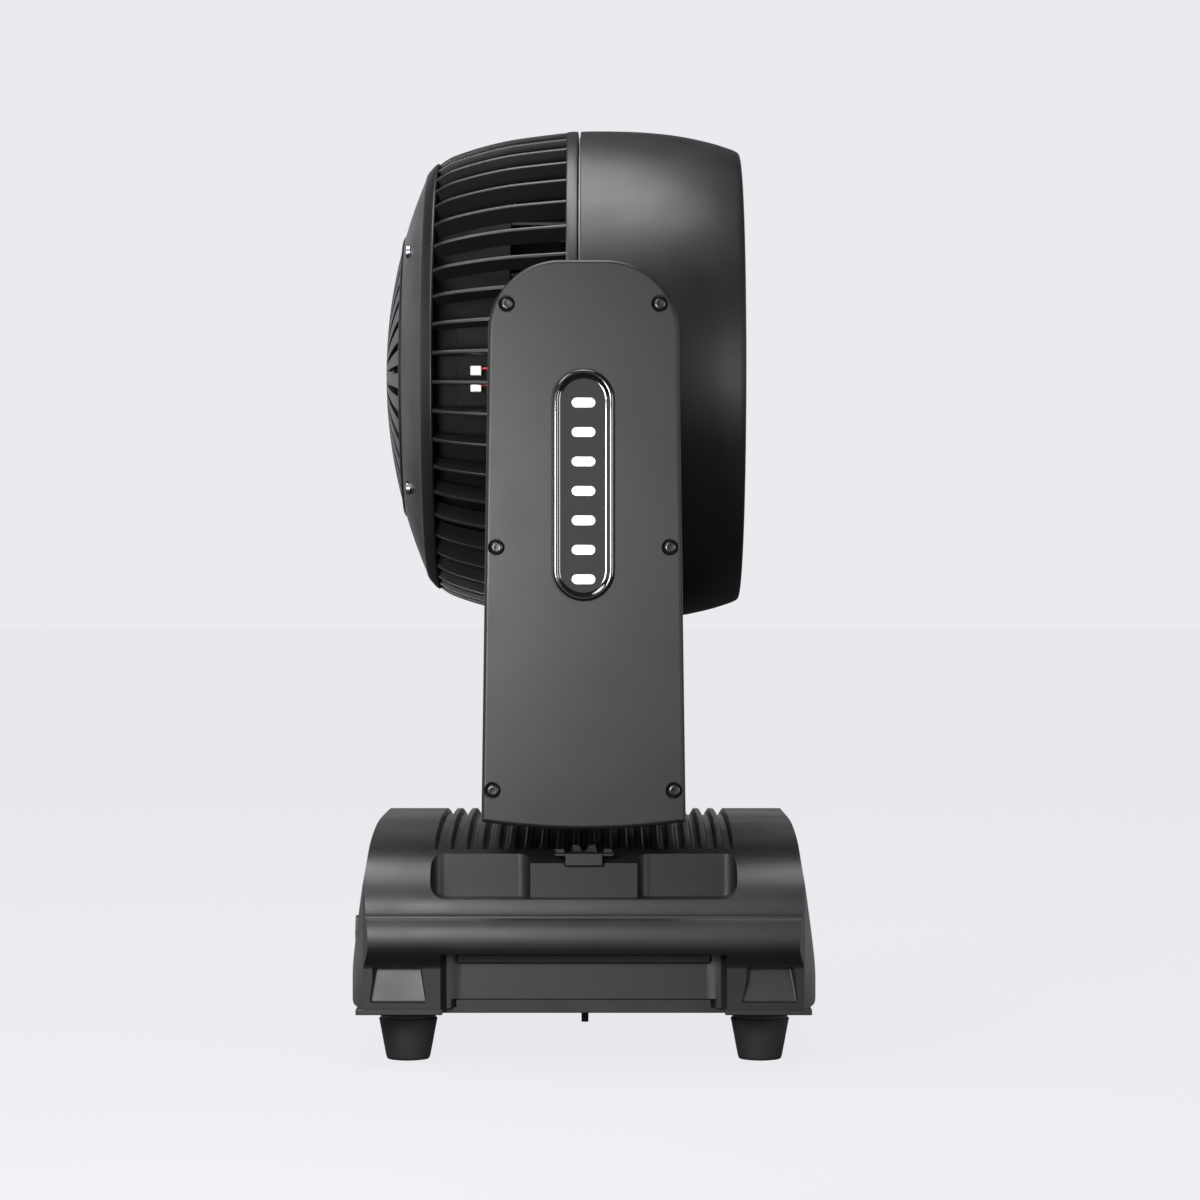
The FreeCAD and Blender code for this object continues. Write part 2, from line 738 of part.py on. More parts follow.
def pan_lock():
    """The pan lock: a thumb slide over the hand recess, a flat bar and the pad that grips the skirt."""
    thumb = box("-10", "10", "-161.5", "-150", "slide_level - 6", "slide_level + 0.7")
    ears = box("-15.5", "15.5", "-160.5", "-153", "slide_level - 1", "slide_level + 0.7")
    riser = box("-6", "6", "-152", "-146", "slide_level - 6", "slide_level + 0.7")
    bar = box("-6", "6", "-147", "-62", "slide_level - 6", "slide_level - 3")
    brake = box("-9", "9", "-62.5", "-skirt_rad - 7.5", "slide_level - 6", "slide_level - 3")
    return piece("pan_lock", joined(thumb, ears, riser, bar, brake))


# ---------------------------------------------------------------- belts and pulleys
def pitch_radius(teeth):
    """The pitch radius of a toothed pulley."""
    return number(teeth) * number("belt_pitch") / (2 * math.pi)


TOOTH_DEPTH = 1.1
BELT_GAP = 0.35
BELT_THICKNESS = 1.4
PULLEY_WIDTH = 9.0


def toothed_ring(teeth, bore, start, width):
    """A pulley along +Z with square-cut teeth: its outline steps in and out once a tooth."""
    count = round(number(teeth))
    tip = pitch_radius(teeth) - 0.4
    root = tip - TOOTH_DEPTH
    corners = []
    for tooth in range(count):
        for share, radius in ((0.0, tip), (0.5, tip), (0.58, root), (0.92, root)):
            angle = 2 * math.pi * (tooth + share) / count
            corners.append(V(radius * math.cos(angle), radius * math.sin(angle), start))
    face = Part.Face(Part.makePolygon(corners + corners[:1]))
    solid = face.extrude(V(0, 0, width))
    return solid.cut(Part.makeCylinder(bore, width, V(0, 0, start))) if bore else solid


def belt_loop(distance, start, width):
    """A belt along +X from the large pulley at 0 to the small one at distance."""
    big = pitch_radius("wheel_teeth") - 0.4 + BELT_GAP
    small = pitch_radius("pinion_teeth") - 0.4 + BELT_GAP

    def loop(extra):
        r1, r2 = big + extra, small + extra
        lean = math.acos((r1 - r2) / distance)
        first = [V(r1 * math.cos(a), r1 * math.sin(a), start) for a in (lean, math.pi, -lean)]
        second = [V(distance + r2 * math.cos(a), r2 * math.sin(a), start) for a in (-lean, 0, lean)]
        edges = [
            Part.Arc(*first).toShape(),
            Part.LineSegment(first[2], second[0]).toShape(),
            Part.Arc(*second).toShape(),
            Part.LineSegment(second[2], first[0]).toShape(),
        ]
        return Part.Face(Part.Wire(edges)).extrude(V(0, 0, width))

    return loop(BELT_THICKNESS).cut(loop(0))


def made(label, shape, placement=None):
    """A piece whose shape is worked out directly, because no primitive or feature fits it."""
    thing = doc.addObject("Part::Feature", label)
    thing.Shape = shape
    if placement:
        thing.Placement = placement
    return piece(label, thing)


def drives():
    """The pan drive over the yoke plate and the tilt drive in the left arm."""
    level = number("yoke_floor + yoke_gauge + 8")
    wheel = toothed_ring("wheel_teeth", number("post_rad") + 0.02, level, PULLEY_WIDTH)
    made("pan_wheel", wheel)
    pinion = toothed_ring("pinion_teeth", 0, level, PULLEY_WIDTH)
    shaft = Part.makeCylinder(2.5, 22, V(0, 0, level))
    spot = FreeCAD.Placement(V(0, number("pan_motor_y"), 0), FreeCAD.Rotation())
    made("pan_pinion", pinion.fuse(shaft), spot)
    belt = belt_loop(number("pan_motor_y"), level + 0.5, PULLEY_WIDTH - 1)
    made("pan_belt", belt, FreeCAD.Placement(V(), FreeCAD.Rotation(V(0, 0, 1), 90)))
    # The tilt drive is drawn along +Z and turned so that its own +Z points along -Y.
    outward = FreeCAD.Rotation(V(1, 0, 0), 90)
    axis = FreeCAD.Placement(V(0, 0, number("tilt_height")), outward)
    made("tilt_wheel", toothed_ring("wheel_teeth", number("shaft_rad") + 0.02, 176.5, PULLEY_WIDTH), axis)
    motor_axis = FreeCAD.Placement(V(0, 0, number("tilt_motor_z")), outward)
    shaft = Part.makeCylinder(2.5, 24, V(0, 0, 161.5))
    made("tilt_pinion", toothed_ring("pinion_teeth", 0, 176.5, PULLEY_WIDTH).fuse(shaft), motor_axis)
    belt = belt_loop(number("tilt_height - tilt_motor_z"), 177, PULLEY_WIDTH - 1)
    down = FreeCAD.Placement(V(0, 0, number("tilt_height")), outward.multiply(FreeCAD.Rotation(V(0, 0, 1), -90)))
    made("tilt_belt", belt, down)


def motors():
    """Two stepper motors: the pan motor hangs in the bridge, the tilt motor sits on the left arm plate."""
    case = box("-28", "28", "pan_motor_y - 28", "pan_motor_y + 28", "159", "200")
    legs = [
        rod("Z", "3.5", "yoke_floor + yoke_gauge", "160", x, f"pan_motor_y + {y}")
        for x in ("-23.5", "23.5")
        for y in ("(-23.5)", "23.5")
    ]
    socket_hole = rod("Z", "2.6", "158", "172", "0", "pan_motor_y")
    piece("pan_motor", less(joined(case, *legs), socket_hole))
    case = box("-21", "21", "-172", "-154", "tilt_motor_z - 21", "tilt_motor_z + 21")
    boss = rod("Y", "11", "-175.5", "-171", "0", "tilt_motor_z")
    socket_hole = rod("Y", "2.6", "-178", "-158", "0", "tilt_motor_z")
    piece("tilt_motor", less(joined(case, boss), socket_hole))


# ---------------------------------------------------------------- yoke
SCREWS = [("40", "403"), ("45.4", "275.5"), ("47.5", "148.3")]


def arm_outline(inset="0"):
    """An arm from the side: sides that lean in a little, round shoulders and a slightly bowed foot."""
    inset = f"({inset})"
    low = f"arm_half_low - {inset}"
    top = f"arm_half_top - {inset}"
    head = f"arm_top - {inset}"
    foot = f"arm_low + {inset}"
    shoulder = "arm_top - arm_round"
    half = [
        (low, foot),
        (top, shoulder, (f"arm_half_top - arm_round * 0.293 - {inset} * 0.707", f"{head} - (arm_round - {inset}) * 0.293")),
        ("arm_half_top - arm_round", head),
    ]
    points = mirrored(half)
    points[-1] = points[-1][:2] + (("0", f"{foot} - 4"),)
    return points


def yoke_frame():
    """The cast yoke plate with its bearing hub and skirt, and the two arm plates that stand on it."""
    plate = box("-46", "46", "-175", "175", "yoke_floor", "yoke_floor + yoke_gauge")
    disc = rod("Z", "skirt_rad", "yoke_floor - 4", "yoke_floor")
    hub = rod("Z", "38", "124", "yoke_floor")
    skirt = less(rod("Z", "skirt_rad", "104", "yoke_floor"), rod("Z", "skirt_rad - 4", "103", "yoke_floor - 3"))
    seat = rod("Z", "32.02", "123", "yoke_floor")
    passage = rod("Z", "post_rad + 4", "yoke_floor - 1", "yoke_floor + yoke_gauge + 1")
    piece("yoke_plate", less(joined(plate, disc, hub, skirt), seat, passage))
    bearing = less(rod("Z", "32", "126", "yoke_floor"), rod("Z", "post_rad + run_gap", "125", "yoke_floor + 1"))
    piece("pan_bearing", bearing)
    rings, uprights = [], []
    for side in (-1, 1):
        upright = shared(
            prism("XZ", arm_outline("casing_wall + 1"), *span(side, "172", "175")),
            box("-60", "60", *span(side, "171", "176"), "yoke_floor + yoke_gauge", "arm_top"),
        )
        holder = rod("Y", "24", *span(side, "160", "173"), "0", "tilt_height")
        cuts = [
            rod("Y", "bearing_rad + 0.02", *span(side, "159", "171"), "0", "tilt_height"),
            rod("Y", "shaft_rad + 4", *span(side, "170", "176"), "0", "tilt_height"),
            box("-24", "24", *span(side, "171", "176"), "290", "330"),
        ]
        if side < 0:
            cuts.append(rod("Y", "11.3", "-176", "-171", "0", "tilt_motor_z"))
        uprights.append(less(joined(upright, holder), *cuts))
        rings.append(
            less(
                rod("Y", "bearing_rad", *span(side, "161", "171"), "0", "tilt_height"),
                rod("Y", "shaft_rad + run_gap", *span(side, "160", "172"), "0", "tilt_height"),
            )
        )
    piece("arm_plates", group(*uprights))
    piece("tilt_bearings", group(*rings))


def reflected(thing):
    """The mirror image of a thing in the plane Y = 0."""
    image = doc.addObject("Part::Mirroring", "reflected")
    image.Source = thing
    image.Normal = V(0, 1, 0)
    return image


def outer_casing():
    """The outer casing of the right arm: a shell with a soft edge, screw bosses and the seat of the badge."""
    shell = prism("XZ", arm_outline(), "arm_joint", "arm_outer")
    face = number("arm_outer")
    shell = rounded(shell, "2.5", lambda edge: all(abs(v.Point.y - face) < 1e-6 for v in edge.Vertexes))
    hollow = prism("XZ", arm_outline("casing_wall"), "arm_joint - 1", "arm_outer - casing_wall")
    bosses, bores = [], []
    for spot in screw_spots():
        bosses.append(rod("Y", "5.8", "175", "arm_outer - 1", *spot))
        bores.append(rod("Y", "4.6", "arm_outer - 3", "arm_outer + 1", *spot))
        bores.append(rod("Y", "2.1", "174", "arm_outer", *spot))
    bosses = shared(prism("XZ", arm_outline("0.3"), "arm_joint", "arm_outer - 0.3"), joined(*bosses))
    seat = prism("XZ", badge_outline("16.6", "61.2"), "arm_outer - 0.8", "arm_outer + 1")
    return less(joined(less(shell, hollow), bosses), *bores, seat)


def inner_casing():
    """The inner casing of the right arm, open to the bridge and round the tilt shaft."""
    shell = prism("XZ", arm_outline(), "arm_inner", "arm_joint - 0.2")
    hollow = prism("XZ", arm_outline("casing_wall"), "arm_inner + casing_wall", "arm_joint + 1")
    door = box("-46.8", "46.8", "arm_inner - 1", "arm_inner + 4", "arm_low + 2.6", "bridge_top - 4")
    mouth = rod("Y", "shaft_rad + 4", "arm_inner - 1", "arm_inner + 4", "0", "tilt_height")
    return less(shell, hollow, door, mouth)


def screw_spots():
    """The six screws of an outer casing, as (x, z) formulas."""
    return [(f"{along} * {x}", z) for along in (-1, 1) for x, z in SCREWS]


def arm_casings():
    """The casings of both arms, their badges and the screws that hold the outer casings."""
    outer, inner = outer_casing(), inner_casing()
    piece("right_outer_casing", outer)
    piece("left_outer_casing", reflected(outer))
    piece("right_inner_casing", inner)
    piece("left_inner_casing", reflected(inner))
    badges, screws = [], []
    for side in (-1, 1):
        badges.append(prism("XZ", badge_outline("16", "60.6"), *span(side, "arm_outer - 0.8", "arm_outer + 1.2")))
        for spot in screw_spots():
            head = rod("Y", "4.2", *span(side, "arm_outer - 3", "arm_outer - 0.4"), *spot)
            shank = rod("Y", "2", *span(side, "178", "arm_outer - 2.5"), *spot)
            hexagon = rod("Y", "1.6", *span(side, "arm_outer - 2.2", "arm_outer + 1"), *spot)
            screws.append(less(joined(head, shank), hexagon))
    piece("badges", group(*badges))
    piece("casing_screws", group(*screws))


def badge_outline(half_width, half_height):
    """The long oval of a badge, centred below the tilt axis."""
    middle = "tilt_height - 68"
    high = f"{middle} + {half_height}"
    low = f"{middle} - {half_height}"
    return [
        (f"-({half_width})", f"{high} - {half_width}", ("0", high)),
        (half_width, f"{high} - {half_width}"),
        (half_width, f"{low} + {half_width}", ("0", low)),
        (f"-({half_width})", f"{low} + {half_width}"),
    ]


def bridge_cover():
    """The channel-shaped cover over the drives between the arms."""

    def channel(inset):
        half = [
            (f"49.5 - {inset}", "yoke_floor"),
            (f"49.5 - {inset}", "bridge_top - 16", (f"49.5 - {inset} - 4.7", f"bridge_top - {inset} - 4.7")),
            ("33.5", f"bridge_top - {inset}"),
        ]
        return mirrored(half)

    outer = prism("XZ", channel("0"), "-arm_inner + 0.2", "arm_inner - 0.2")
    inner = prism("XZ", channel("casing_wall"), "-arm_inner", "arm_inner")
    return piece("bridge_cover", less(outer, inner))


# ---------------------------------------------------------------- head: shells
def front_shell():
    """The smooth front drum: a thin wall that curves in to the front rim, with a hole for each shaft."""
    outline = [
        ("-2.4", "head_rad", ("30", "head_rad - 0.75")),
        ("60", "head_rad - 3.2", ("74", "head_rad - 5.9")),
        ("head_front - 1.5", "head_rad - 10.4", ("head_front - 0.3", "head_rad - 11.5")),
        ("head_front", "head_rad - 13"),
        ("head_front", "head_rad - 15"),
        ("head_front - 4", "head_rad - 15"),
        ("head_front - 5", "head_rad - 12.6", ("72", "head_rad - 8.5")),
        ("60", "head_rad - 3.2 - shell_wall", ("30", "head_rad - 0.75 - shell_wall")),
        ("-2.4", "head_rad - shell_wall"),
    ]
    body = turned_body("front_shell", "X", outline, "tilt_height")
    shaft_holes(body)


def shaft_holes(body):
    """The two round holes in a shell that the tilt shafts pass."""
    sketch = sketch_on(body, "XZ", v="tilt_height", level="-head_rad - 5")
    ring(sketch, "shaft_rad + 9")
    pocket(body, sketch, "2 * head_rad + 10", away=True)


def rear_cage():
    """The ribbed cage: a revolved wall, cut by one wedge-shaped gap that repeats round the axis."""
    outline = [
        ("-3", "head_rad - 0.1", ("-45", "head_rad - 4.9")),
        ("-82", "head_rad - 16.7", ("-86.8", "head_rad - 19.8")),
        ("-cage_back", "cap_rad + 1.5"),
        ("-cage_back", "cap_rad - 7"),
        ("-cage_back + 4", "cap_rad - 7"),
        ("-cage_back + 4", "cap_rad - 1", ("-44.5", "head_rad - 11")),
        ("-9", "head_rad - 6.6"),
        ("-9", "head_rad - 10"),
        ("-3", "head_rad - 10"),
    ]
    body = turned_body("rear_cage", "X", outline, "tilt_height")
    sketch = sketch_on(body, "YZ", v="tilt_height", level="-84")
    edge = "tan(180 / rib_count)"
    trim = "rib_gauge / 2 / cos(180 / rib_count)"
    far, near = "head_rad + 6", "cap_rad - 12"

    def corner(radius, way):
        across = f"({way} * (({radius}) * {edge} - {trim}))"
        return (
            f"({radius}) * cos(rib_phase) - {across} * sin(rib_phase)",
            f"({radius}) * sin(rib_phase) + {across} * cos(rib_phase)",
        )

    draw(sketch, [corner(near, -1), corner(far, -1), corner(far, 1), corner(near, 1)])
    gap = pocket(body, sketch, "75", away=True)
    patterned(body, gap, sketch, "rib_count")
    shaft_holes(body)


def rear_cap():
    """The domed rear cap with radial vents, a plain rim for its screws and a closed hub."""
    dome = "sqrt(cap_sphere^2 - (cap_rad / 2)^2) - sqrt(cap_sphere^2 - cap_rad^2)"
    peak = "cap_sphere - sqrt(cap_sphere^2 - cap_rad^2)"
    outline = [
        ("-cage_back", "cap_rad"),
        ("-cage_back - 1", "cap_rad", (f"-cage_back - 1 - ({dome})", "cap_rad / 2")),
        (f"-cage_back - 1 - ({peak})", "0"),
        (f"-cage_back - ({peak}) + 2.2", "0", (f"-cage_back - ({dome}) + 2.6", "cap_rad / 2 - 4")),
        ("-cage_back", "cap_rad - 8"),
    ]
    body = turned_body("rear_cap", "X", outline, "tilt_height")
    sketch = sketch_on(body, "YZ", v="tilt_height", level="-125")
    draw(sketch, [("30", "-1.2"), ("75", "-2.3"), ("75", "2.3"), ("30", "1.2")])
    vent = pocket(body, sketch, "40", away=True)
    patterned(body, vent, sketch, "vent_count")
    sketch = sketch_on(body, "YZ", v="tilt_height", level="-125")
    ring(sketch, "1.7", "93 * cos(45)", "93 * sin(45)")
    hole = pocket(body, sketch, "40", away=True)
    patterned(body, hole, sketch, "4")
    sketch = sketch_on(body, "YZ", v="tilt_height", level="-125")
    ring(sketch, "4.2", "93 * cos(45)", "93 * sin(45)")
    seat = pocket(body, sketch, "117.1 - cage_back", away=True)
    patterned(body, seat, sketch, "4")


def cap_screws():
    """The four screws of the rear cap."""
    screws = []
    for along in (-1, 1):
        for up in (-1, 1):
            y = f"{along} * 93 * cos(45)"
            z = f"tilt_height + {up} * 93 * cos(45)"
            head = rod("X", "3.4", "-cage_back - 10.3", "-cage_back - 7.9", y, z)
            shank = rod("X", "1.6", "-cage_back - 8", "-cage_back + 2", y, z)
            screws.append(joined(head, shank))
    return piece("cap_screws", group(*screws))


def front_bezel():
    """The ring in the mouth of the front shell: a conical face round the lens array."""
    outline = [
        ("head_front - 2", "head_rad - 15.3"),
        ("head_front - 14", "head_rad - 15.3"),
        ("head_front - 14", "head_rad - 22.6"),
        ("head_front - 11", "head_rad - 22.6"),
        ("head_front - 2", "head_rad - 18"),
    ]
    turned_body("front_bezel", "X", outline, "tilt_height")


# ---------------------------------------------------------------- head: frame, light engine and zoom
def spokes(radius, angles):
    """Centres on a circle about the head's axis, as (y, z) formulas."""
    return [
        (f"{radius} * cos({angle})", f"tilt_height + {radius} * sin({angle})")
        for angle in angles
    ]


def cell_centres():
    """Centres of the nineteen cells: a hexagon of two rings, as (y, z) in millimetres from the axis."""
    pitch = number("cell_pitch")
    centres = []
    for q in range(-2, 3):
        for r in range(-2, 3):
            if abs(q + r) <= 2:
                centres.append((pitch * (q + r / 2), pitch * r * math.sqrt(3) / 2))
    return centres


SCREW_ANGLES = (30, 210)
GUIDE_ANGLES = (90, 150, 270, 330)
CELL_FLAT = 20.5
LENS_SPHERE = 34.0


def head_frame():
    """The ring that carries the head, and the two hollow tilt shafts that bolt to its bosses."""
    ring_plate = less(
        rod("X", "head_rad - 3.6", "-3", "5", "0", "tilt_height"),
        rod("X", "100", "-4", "6", "0", "tilt_height"),
    )
    bosses = [rod("Y", "19", *span(s, "119", "head_rad - 3.6"), "0", "tilt_height") for s in (-1, 1)]
    piece("head_frame", joined(ring_plate, *bosses))
    shafts = []
    for side in (-1, 1):
        shaft = joined(
            rod("Y", "19", *span(side, "head_rad - 3.6", "148"), "0", "tilt_height"),
            rod("Y", "shaft_rad", *span(side, "147", "187.5"), "0", "tilt_height"),
        )
        shafts.append(less(shaft, rod("Y", "7", *span(side, "133", "188"), "0", "tilt_height")))
    piece("tilt_shafts", group(*shafts))


def light_engine():
    """Finned heat sink, LED board with nineteen emitters, and the light guides in front of them."""
    plate = rod("X", "118", "5", "13", "0", "tilt_height")
    fins = shared(
        joined(
            rod("X", "fin_rad", "-40", "-3.4", "0", "tilt_height"),
            rod("X", "98", "-5", "5.5", "0", "tilt_height"),
        ),
        joined(*[box("-41", "6", "-fin_rad", "fin_rad", f"tilt_height + {10 * k} - 0.8", f"tilt_height + {10 * k} + 0.8")
                 for k in range(-11, 12)]),
    )
    piece("heat_sink", joined(plate, fins))
    board = rod("X", "98", "13", "14.6", "0", "tilt_height")
    centres = cell_centres()
    emitters = [box("14.6", "16", f"{y} - 3.5", f"{y} + 3.5", f"tilt_height + {z} - 3.5", f"tilt_height + {z} + 3.5")
                for y, z in centres]
    piece("led_board", joined(board, *emitters))
    guides = [taper("X", "4.5", "8.5", "16.2", "32", f"{y}", f"tilt_height + {z}") for y, z in centres]
    holder = rod("X", "97", "27", "29", "0", "tilt_height")
    piece("light_guides", joined(holder, *guides))


def hexagon(flat, y, z):
    """A hexagon about (y, z), with two of its corners along Z."""
    corners = []
    for k in range(6):
        angle = math.radians(30 + 60 * k)
        across = y + flat / math.cos(math.pi / 6) * math.cos(angle)
        up = z + flat / math.cos(math.pi / 6) * math.sin(angle)
        corners.append((across, up))
    return corners


def zoom():
    """Zoom motors, guide rods, the two lead screws, the lens carrier and the moulded lens array."""
    spots = spokes("zoom_rad", SCREW_ANGLES)
    cans = [less(rod("X", "9", "13", "31", y, z), rod("X", "3.1", "25", "32", y, z)) for y, z in spots]
    piece("zoom_motors", group(*cans))
    for count, (y, z) in enumerate(spots, start=1):
        piece(f"zoom_screw_{count}", rod("X", "3", "26", "head_front - 15", y, z))
    piece("zoom_guides", group(*[rod("X", "2.5", "13", "head_front - 14", y, z)
                                 for y, z in spokes("zoom_rad", GUIDE_ANGLES)]))
    # The carrier and the array repeat one hexagonal cell nineteen times, so they are worked out directly.
    height, rest = number("tilt_height"), number("lens_rest")
    plate = Part.makeCylinder(116, 4, V(rest, 0, height), V(1, 0, 0))
    holes, domes = [], []
    for y, z in cell_centres():
        corners = [V(rest - 1, a, height + b) for a, b in hexagon(CELL_FLAT, y, z)]
        holes.append(Part.Face(Part.makePolygon(corners + corners[:1])).extrude(V(6, 0, 0)))
        corners = [V(rest + 4, a, height + b) for a, b in hexagon(CELL_FLAT + 1, y, z)]
        column = Part.Face(Part.makePolygon(corners + corners[:1])).extrude(V(20, 0, 0))
        peak = rest + 16
        domes.append(column.common(Part.makeSphere(LENS_SPHERE, V(peak - LENS_SPHERE, y, height + z))))
    for y, z in spokes("zoom_rad", SCREW_ANGLES + GUIDE_ANGLES):
        reach = 3.08 if (y, z) in spots else 2.58
        holes.append(Part.makeCylinder(reach, 6, V(rest - 1, number(y), number(z)), V(1, 0, 0)))
    made("lens_carrier", plate.cut(Part.makeCompound(holes)))
    base = Part.makeCylinder(103, 2, V(rest + 4, 0, height), V(1, 0, 0))
    made("lens_array", base.fuse(domes).removeSplitter())


def cooling():
    """The head fan: a square frame with struts inside a round duct, and a seven-bladed rotor."""
    frame = less(
        box("-65", "-40", "-70", "70", "tilt_height - 70", "tilt_height + 70"),
        rod("X", "66", "-70", "-35", "0", "tilt_height"),
    )
    struts = [
        box("-65", "-62", "-67", "67", "tilt_height - 3", "tilt_height + 3"),
        box("-65", "-62", "-3", "3", "tilt_height - 67", "tilt_height + 67"),
        rod("X", "22", "-65", "-62", "0", "tilt_height"),
    ]
    duct = less(
        rod("X", "duct_rad", "-84", "-41", "0", "tilt_height"),
        rod("X", "duct_rad - 3.6", "-85", "-40", "0", "tilt_height"),
    )
    piece("fan_frame", joined(frame, duct, *struts))
    hub = Part.makeCylinder(22, 18, V(0, 0, 0))
    blade = Part.makeBox(44, 2, 22, V(20, -1, -2))
    blade.rotate(V(0, 0, 9), V(1, 0, 0), 38)
    blade = blade.common(Part.makeCylinder(64, 16.4, V(0, 0, 0.8)))
    blades = []
    for k in range(7):
        turned_blade = blade.copy()
        turned_blade.rotate(V(), V(0, 0, 1), 360 / 7 * k)
        blades.append(turned_blade)
    spot = FreeCAD.Placement(V(-61, 0, number("tilt_height")), FreeCAD.Rotation(V(0, 1, 0), 90))
    made("fan_rotor", hub.fuse(blades), spot)


def head_electronics():
    """The small board outside the fan duct, with its clips and plugs."""
    board = box("-70", "-44", "-106.6", "-105", "tilt_height - 22", "tilt_height + 22")
    clips = less(
        joined(*[
            box("-62", "-48", "-105.5", "-98", f"tilt_height + {z} - 3", f"tilt_height + {z} + 3") for z in (-17, 17)
        ]),
        rod("X", "duct_rad", "-90", "-30", "0", "tilt_height"),
    )
    plugs = [box("-62", "-56", "-113", "-106", f"tilt_height + {z} - 2.6", f"tilt_height + {z} + 2.6")
             for z in (-12, -3)]
    piece("head_board", joined(board, clips, *plugs))


# ---------------------------------------------------------------- build and write
def build():
    """Makes every sub-part."""
    feet()
    base_tray()
    base_cover()
    end_panel("display_panel", 1, display_holes)
    end_panel("connector_panel", -1, connector_holes)
    controls()
    sockets()
    base_inside()
    pan_lock()
    drives()
    motors()
    yoke_frame()
    arm_casings()
    bridge_cover()
    front_shell()
    rear_cage()
    rear_cap()
    cap_screws()
    front_bezel()
    head_frame()
    light_engine()
    zoom()
    cooling()
    head_electronics()


def check_and_write():
    """Stops on any failed feature or bad shape, then writes each sub-part's STEP file."""
    doc.recompute()
    for thing in doc.Objects:
        if "Invalid" in thing.State or "Error" in thing.State:
            raise RuntimeError(f"{thing.Label} failed: {thing.State}")
    os.makedirs("parts", exist_ok=True)
    for thing in pieces:
        shape = thing.Shape
        if shape.isNull() or not shape.isValid() or not shape.Solids:
            raise RuntimeError(f"{thing.Label} has a bad shape")
        shape.exportStep(f"parts/{thing.Label}.step")
        print(f"{thing.Label}: {len(shape.Solids)} solids, {shape.Volume / 1000:.1f} cm3")


build()
check_and_write()
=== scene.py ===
"""Looks of the moving head wash light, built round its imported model.

Sizes are in millimetres while a piece is shaped and become metres when it is settled in the scene.
+Z is up, the lenses face +X, and the near yoke arm stands at -Y.
"""

import logging
import math
from dataclasses import dataclass, field
from enum import Enum
from typing import Any, Iterable, Sequence
import bmesh
import bpy
from mathutils import Matrix, Vector


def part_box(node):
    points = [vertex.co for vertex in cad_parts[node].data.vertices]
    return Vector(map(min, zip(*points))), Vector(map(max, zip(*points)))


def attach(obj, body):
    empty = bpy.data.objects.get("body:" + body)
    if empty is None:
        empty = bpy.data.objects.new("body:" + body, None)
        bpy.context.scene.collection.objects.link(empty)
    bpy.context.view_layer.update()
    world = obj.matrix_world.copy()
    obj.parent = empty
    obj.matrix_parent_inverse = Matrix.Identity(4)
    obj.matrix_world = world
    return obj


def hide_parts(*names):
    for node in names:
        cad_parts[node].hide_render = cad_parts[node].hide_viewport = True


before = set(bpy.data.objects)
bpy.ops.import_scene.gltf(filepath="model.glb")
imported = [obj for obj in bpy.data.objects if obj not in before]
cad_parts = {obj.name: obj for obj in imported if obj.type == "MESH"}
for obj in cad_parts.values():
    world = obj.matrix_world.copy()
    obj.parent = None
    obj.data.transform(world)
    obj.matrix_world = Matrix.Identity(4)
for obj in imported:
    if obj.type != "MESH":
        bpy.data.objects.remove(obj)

LOG = logging.getLogger("wash_light")
MM = 0.001
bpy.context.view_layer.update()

Point = tuple[float, float]
Outline = list[Point]


class Plane(Enum):
    """The plane that a flat outline is drawn on."""

    XY = "xy"
    XZ = "xz"
    YZ = "yz"


class Axis(Enum):
    """The axis that a profile is turned about."""

    X = "x"
    Y = "y"
    Z = "z"


class Cut(Enum):
    """How two solids are combined."""

    AWAY = "DIFFERENCE"
    SHARED = "INTERSECT"
    JOINED = "UNION"


# ---------------------------------------------------------------- outlines
def arc(start: Point, through: Point, end: Point, steps: int = 12) -> Outline:
    """Points along the circle through three points.

    Args:
        start: First point, which is included.
        through: A point in the middle of the arc.
        end: Last point, which is included.
        steps: Number of straight pieces.

    Returns:
        The points from start to end.
    """
    (ax, ay), (bx, by), (cx, cy) = start, through, end
    twice = 2 * (ax * (by - cy) + bx * (cy - ay) + cx * (ay - by))
    sa, sb, sc = ax * ax + ay * ay, bx * bx + by * by, cx * cx + cy * cy
    ux = (sa * (by - cy) + sb * (cy - ay) + sc * (ay - by)) / twice
    uy = (sa * (cx - bx) + sb * (ax - cx) + sc * (bx - ax)) / twice
    first, last = math.atan2(ay - uy, ax - ux), math.atan2(cy - uy, cx - ux)
    middle = math.atan2(by - uy, bx - ux)
    sweep, part = (last - first) % math.tau, (middle - first) % math.tau
    if part > sweep:
        sweep -= math.tau
    radius = math.hypot(ax - ux, ay - uy)
    return [
        (ux + radius * math.cos(first + sweep * k / steps), uy + radius * math.sin(first + sweep * k / steps))
        for k in range(steps + 1)
    ]


def eased(points: Outline, rounds: int = 3, closed: bool = False) -> Outline:
    """A smooth curve guided by a few points; a point given twice stays a corner.

    Args:
        points: The guiding points.
        rounds: How often the corners are cut.
        closed: Whether the curve joins its own start.

    Returns:
        The points of the smooth curve.
    """
    for _ in range(rounds):
        pairs = list(zip(points, points[1:] + points[:1] if closed else points[1:]))
        cut: Outline = [] if closed else [points[0]]
        for (ax, ay), (bx, by) in pairs:
            cut += [(0.75 * ax + 0.25 * bx, 0.75 * ay + 0.25 * by), (0.25 * ax + 0.75 * bx, 0.25 * ay + 0.75 * by)]
        if not closed:
            cut.append(points[-1])
        points = [p for i, p in enumerate(cut) if math.dist(p, cut[i - 1]) > 1e-4]
    return points


def both_ways(half: Outline) -> Outline:
    """A half outline on the positive side, closed by its mirror image.

    Args:
        half: The half with its first coordinate not negative, in order.

    Returns:
        The whole closed outline.
    """
    return half + [(-u, v) for u, v in reversed(half) if abs(u) > 1e-6]


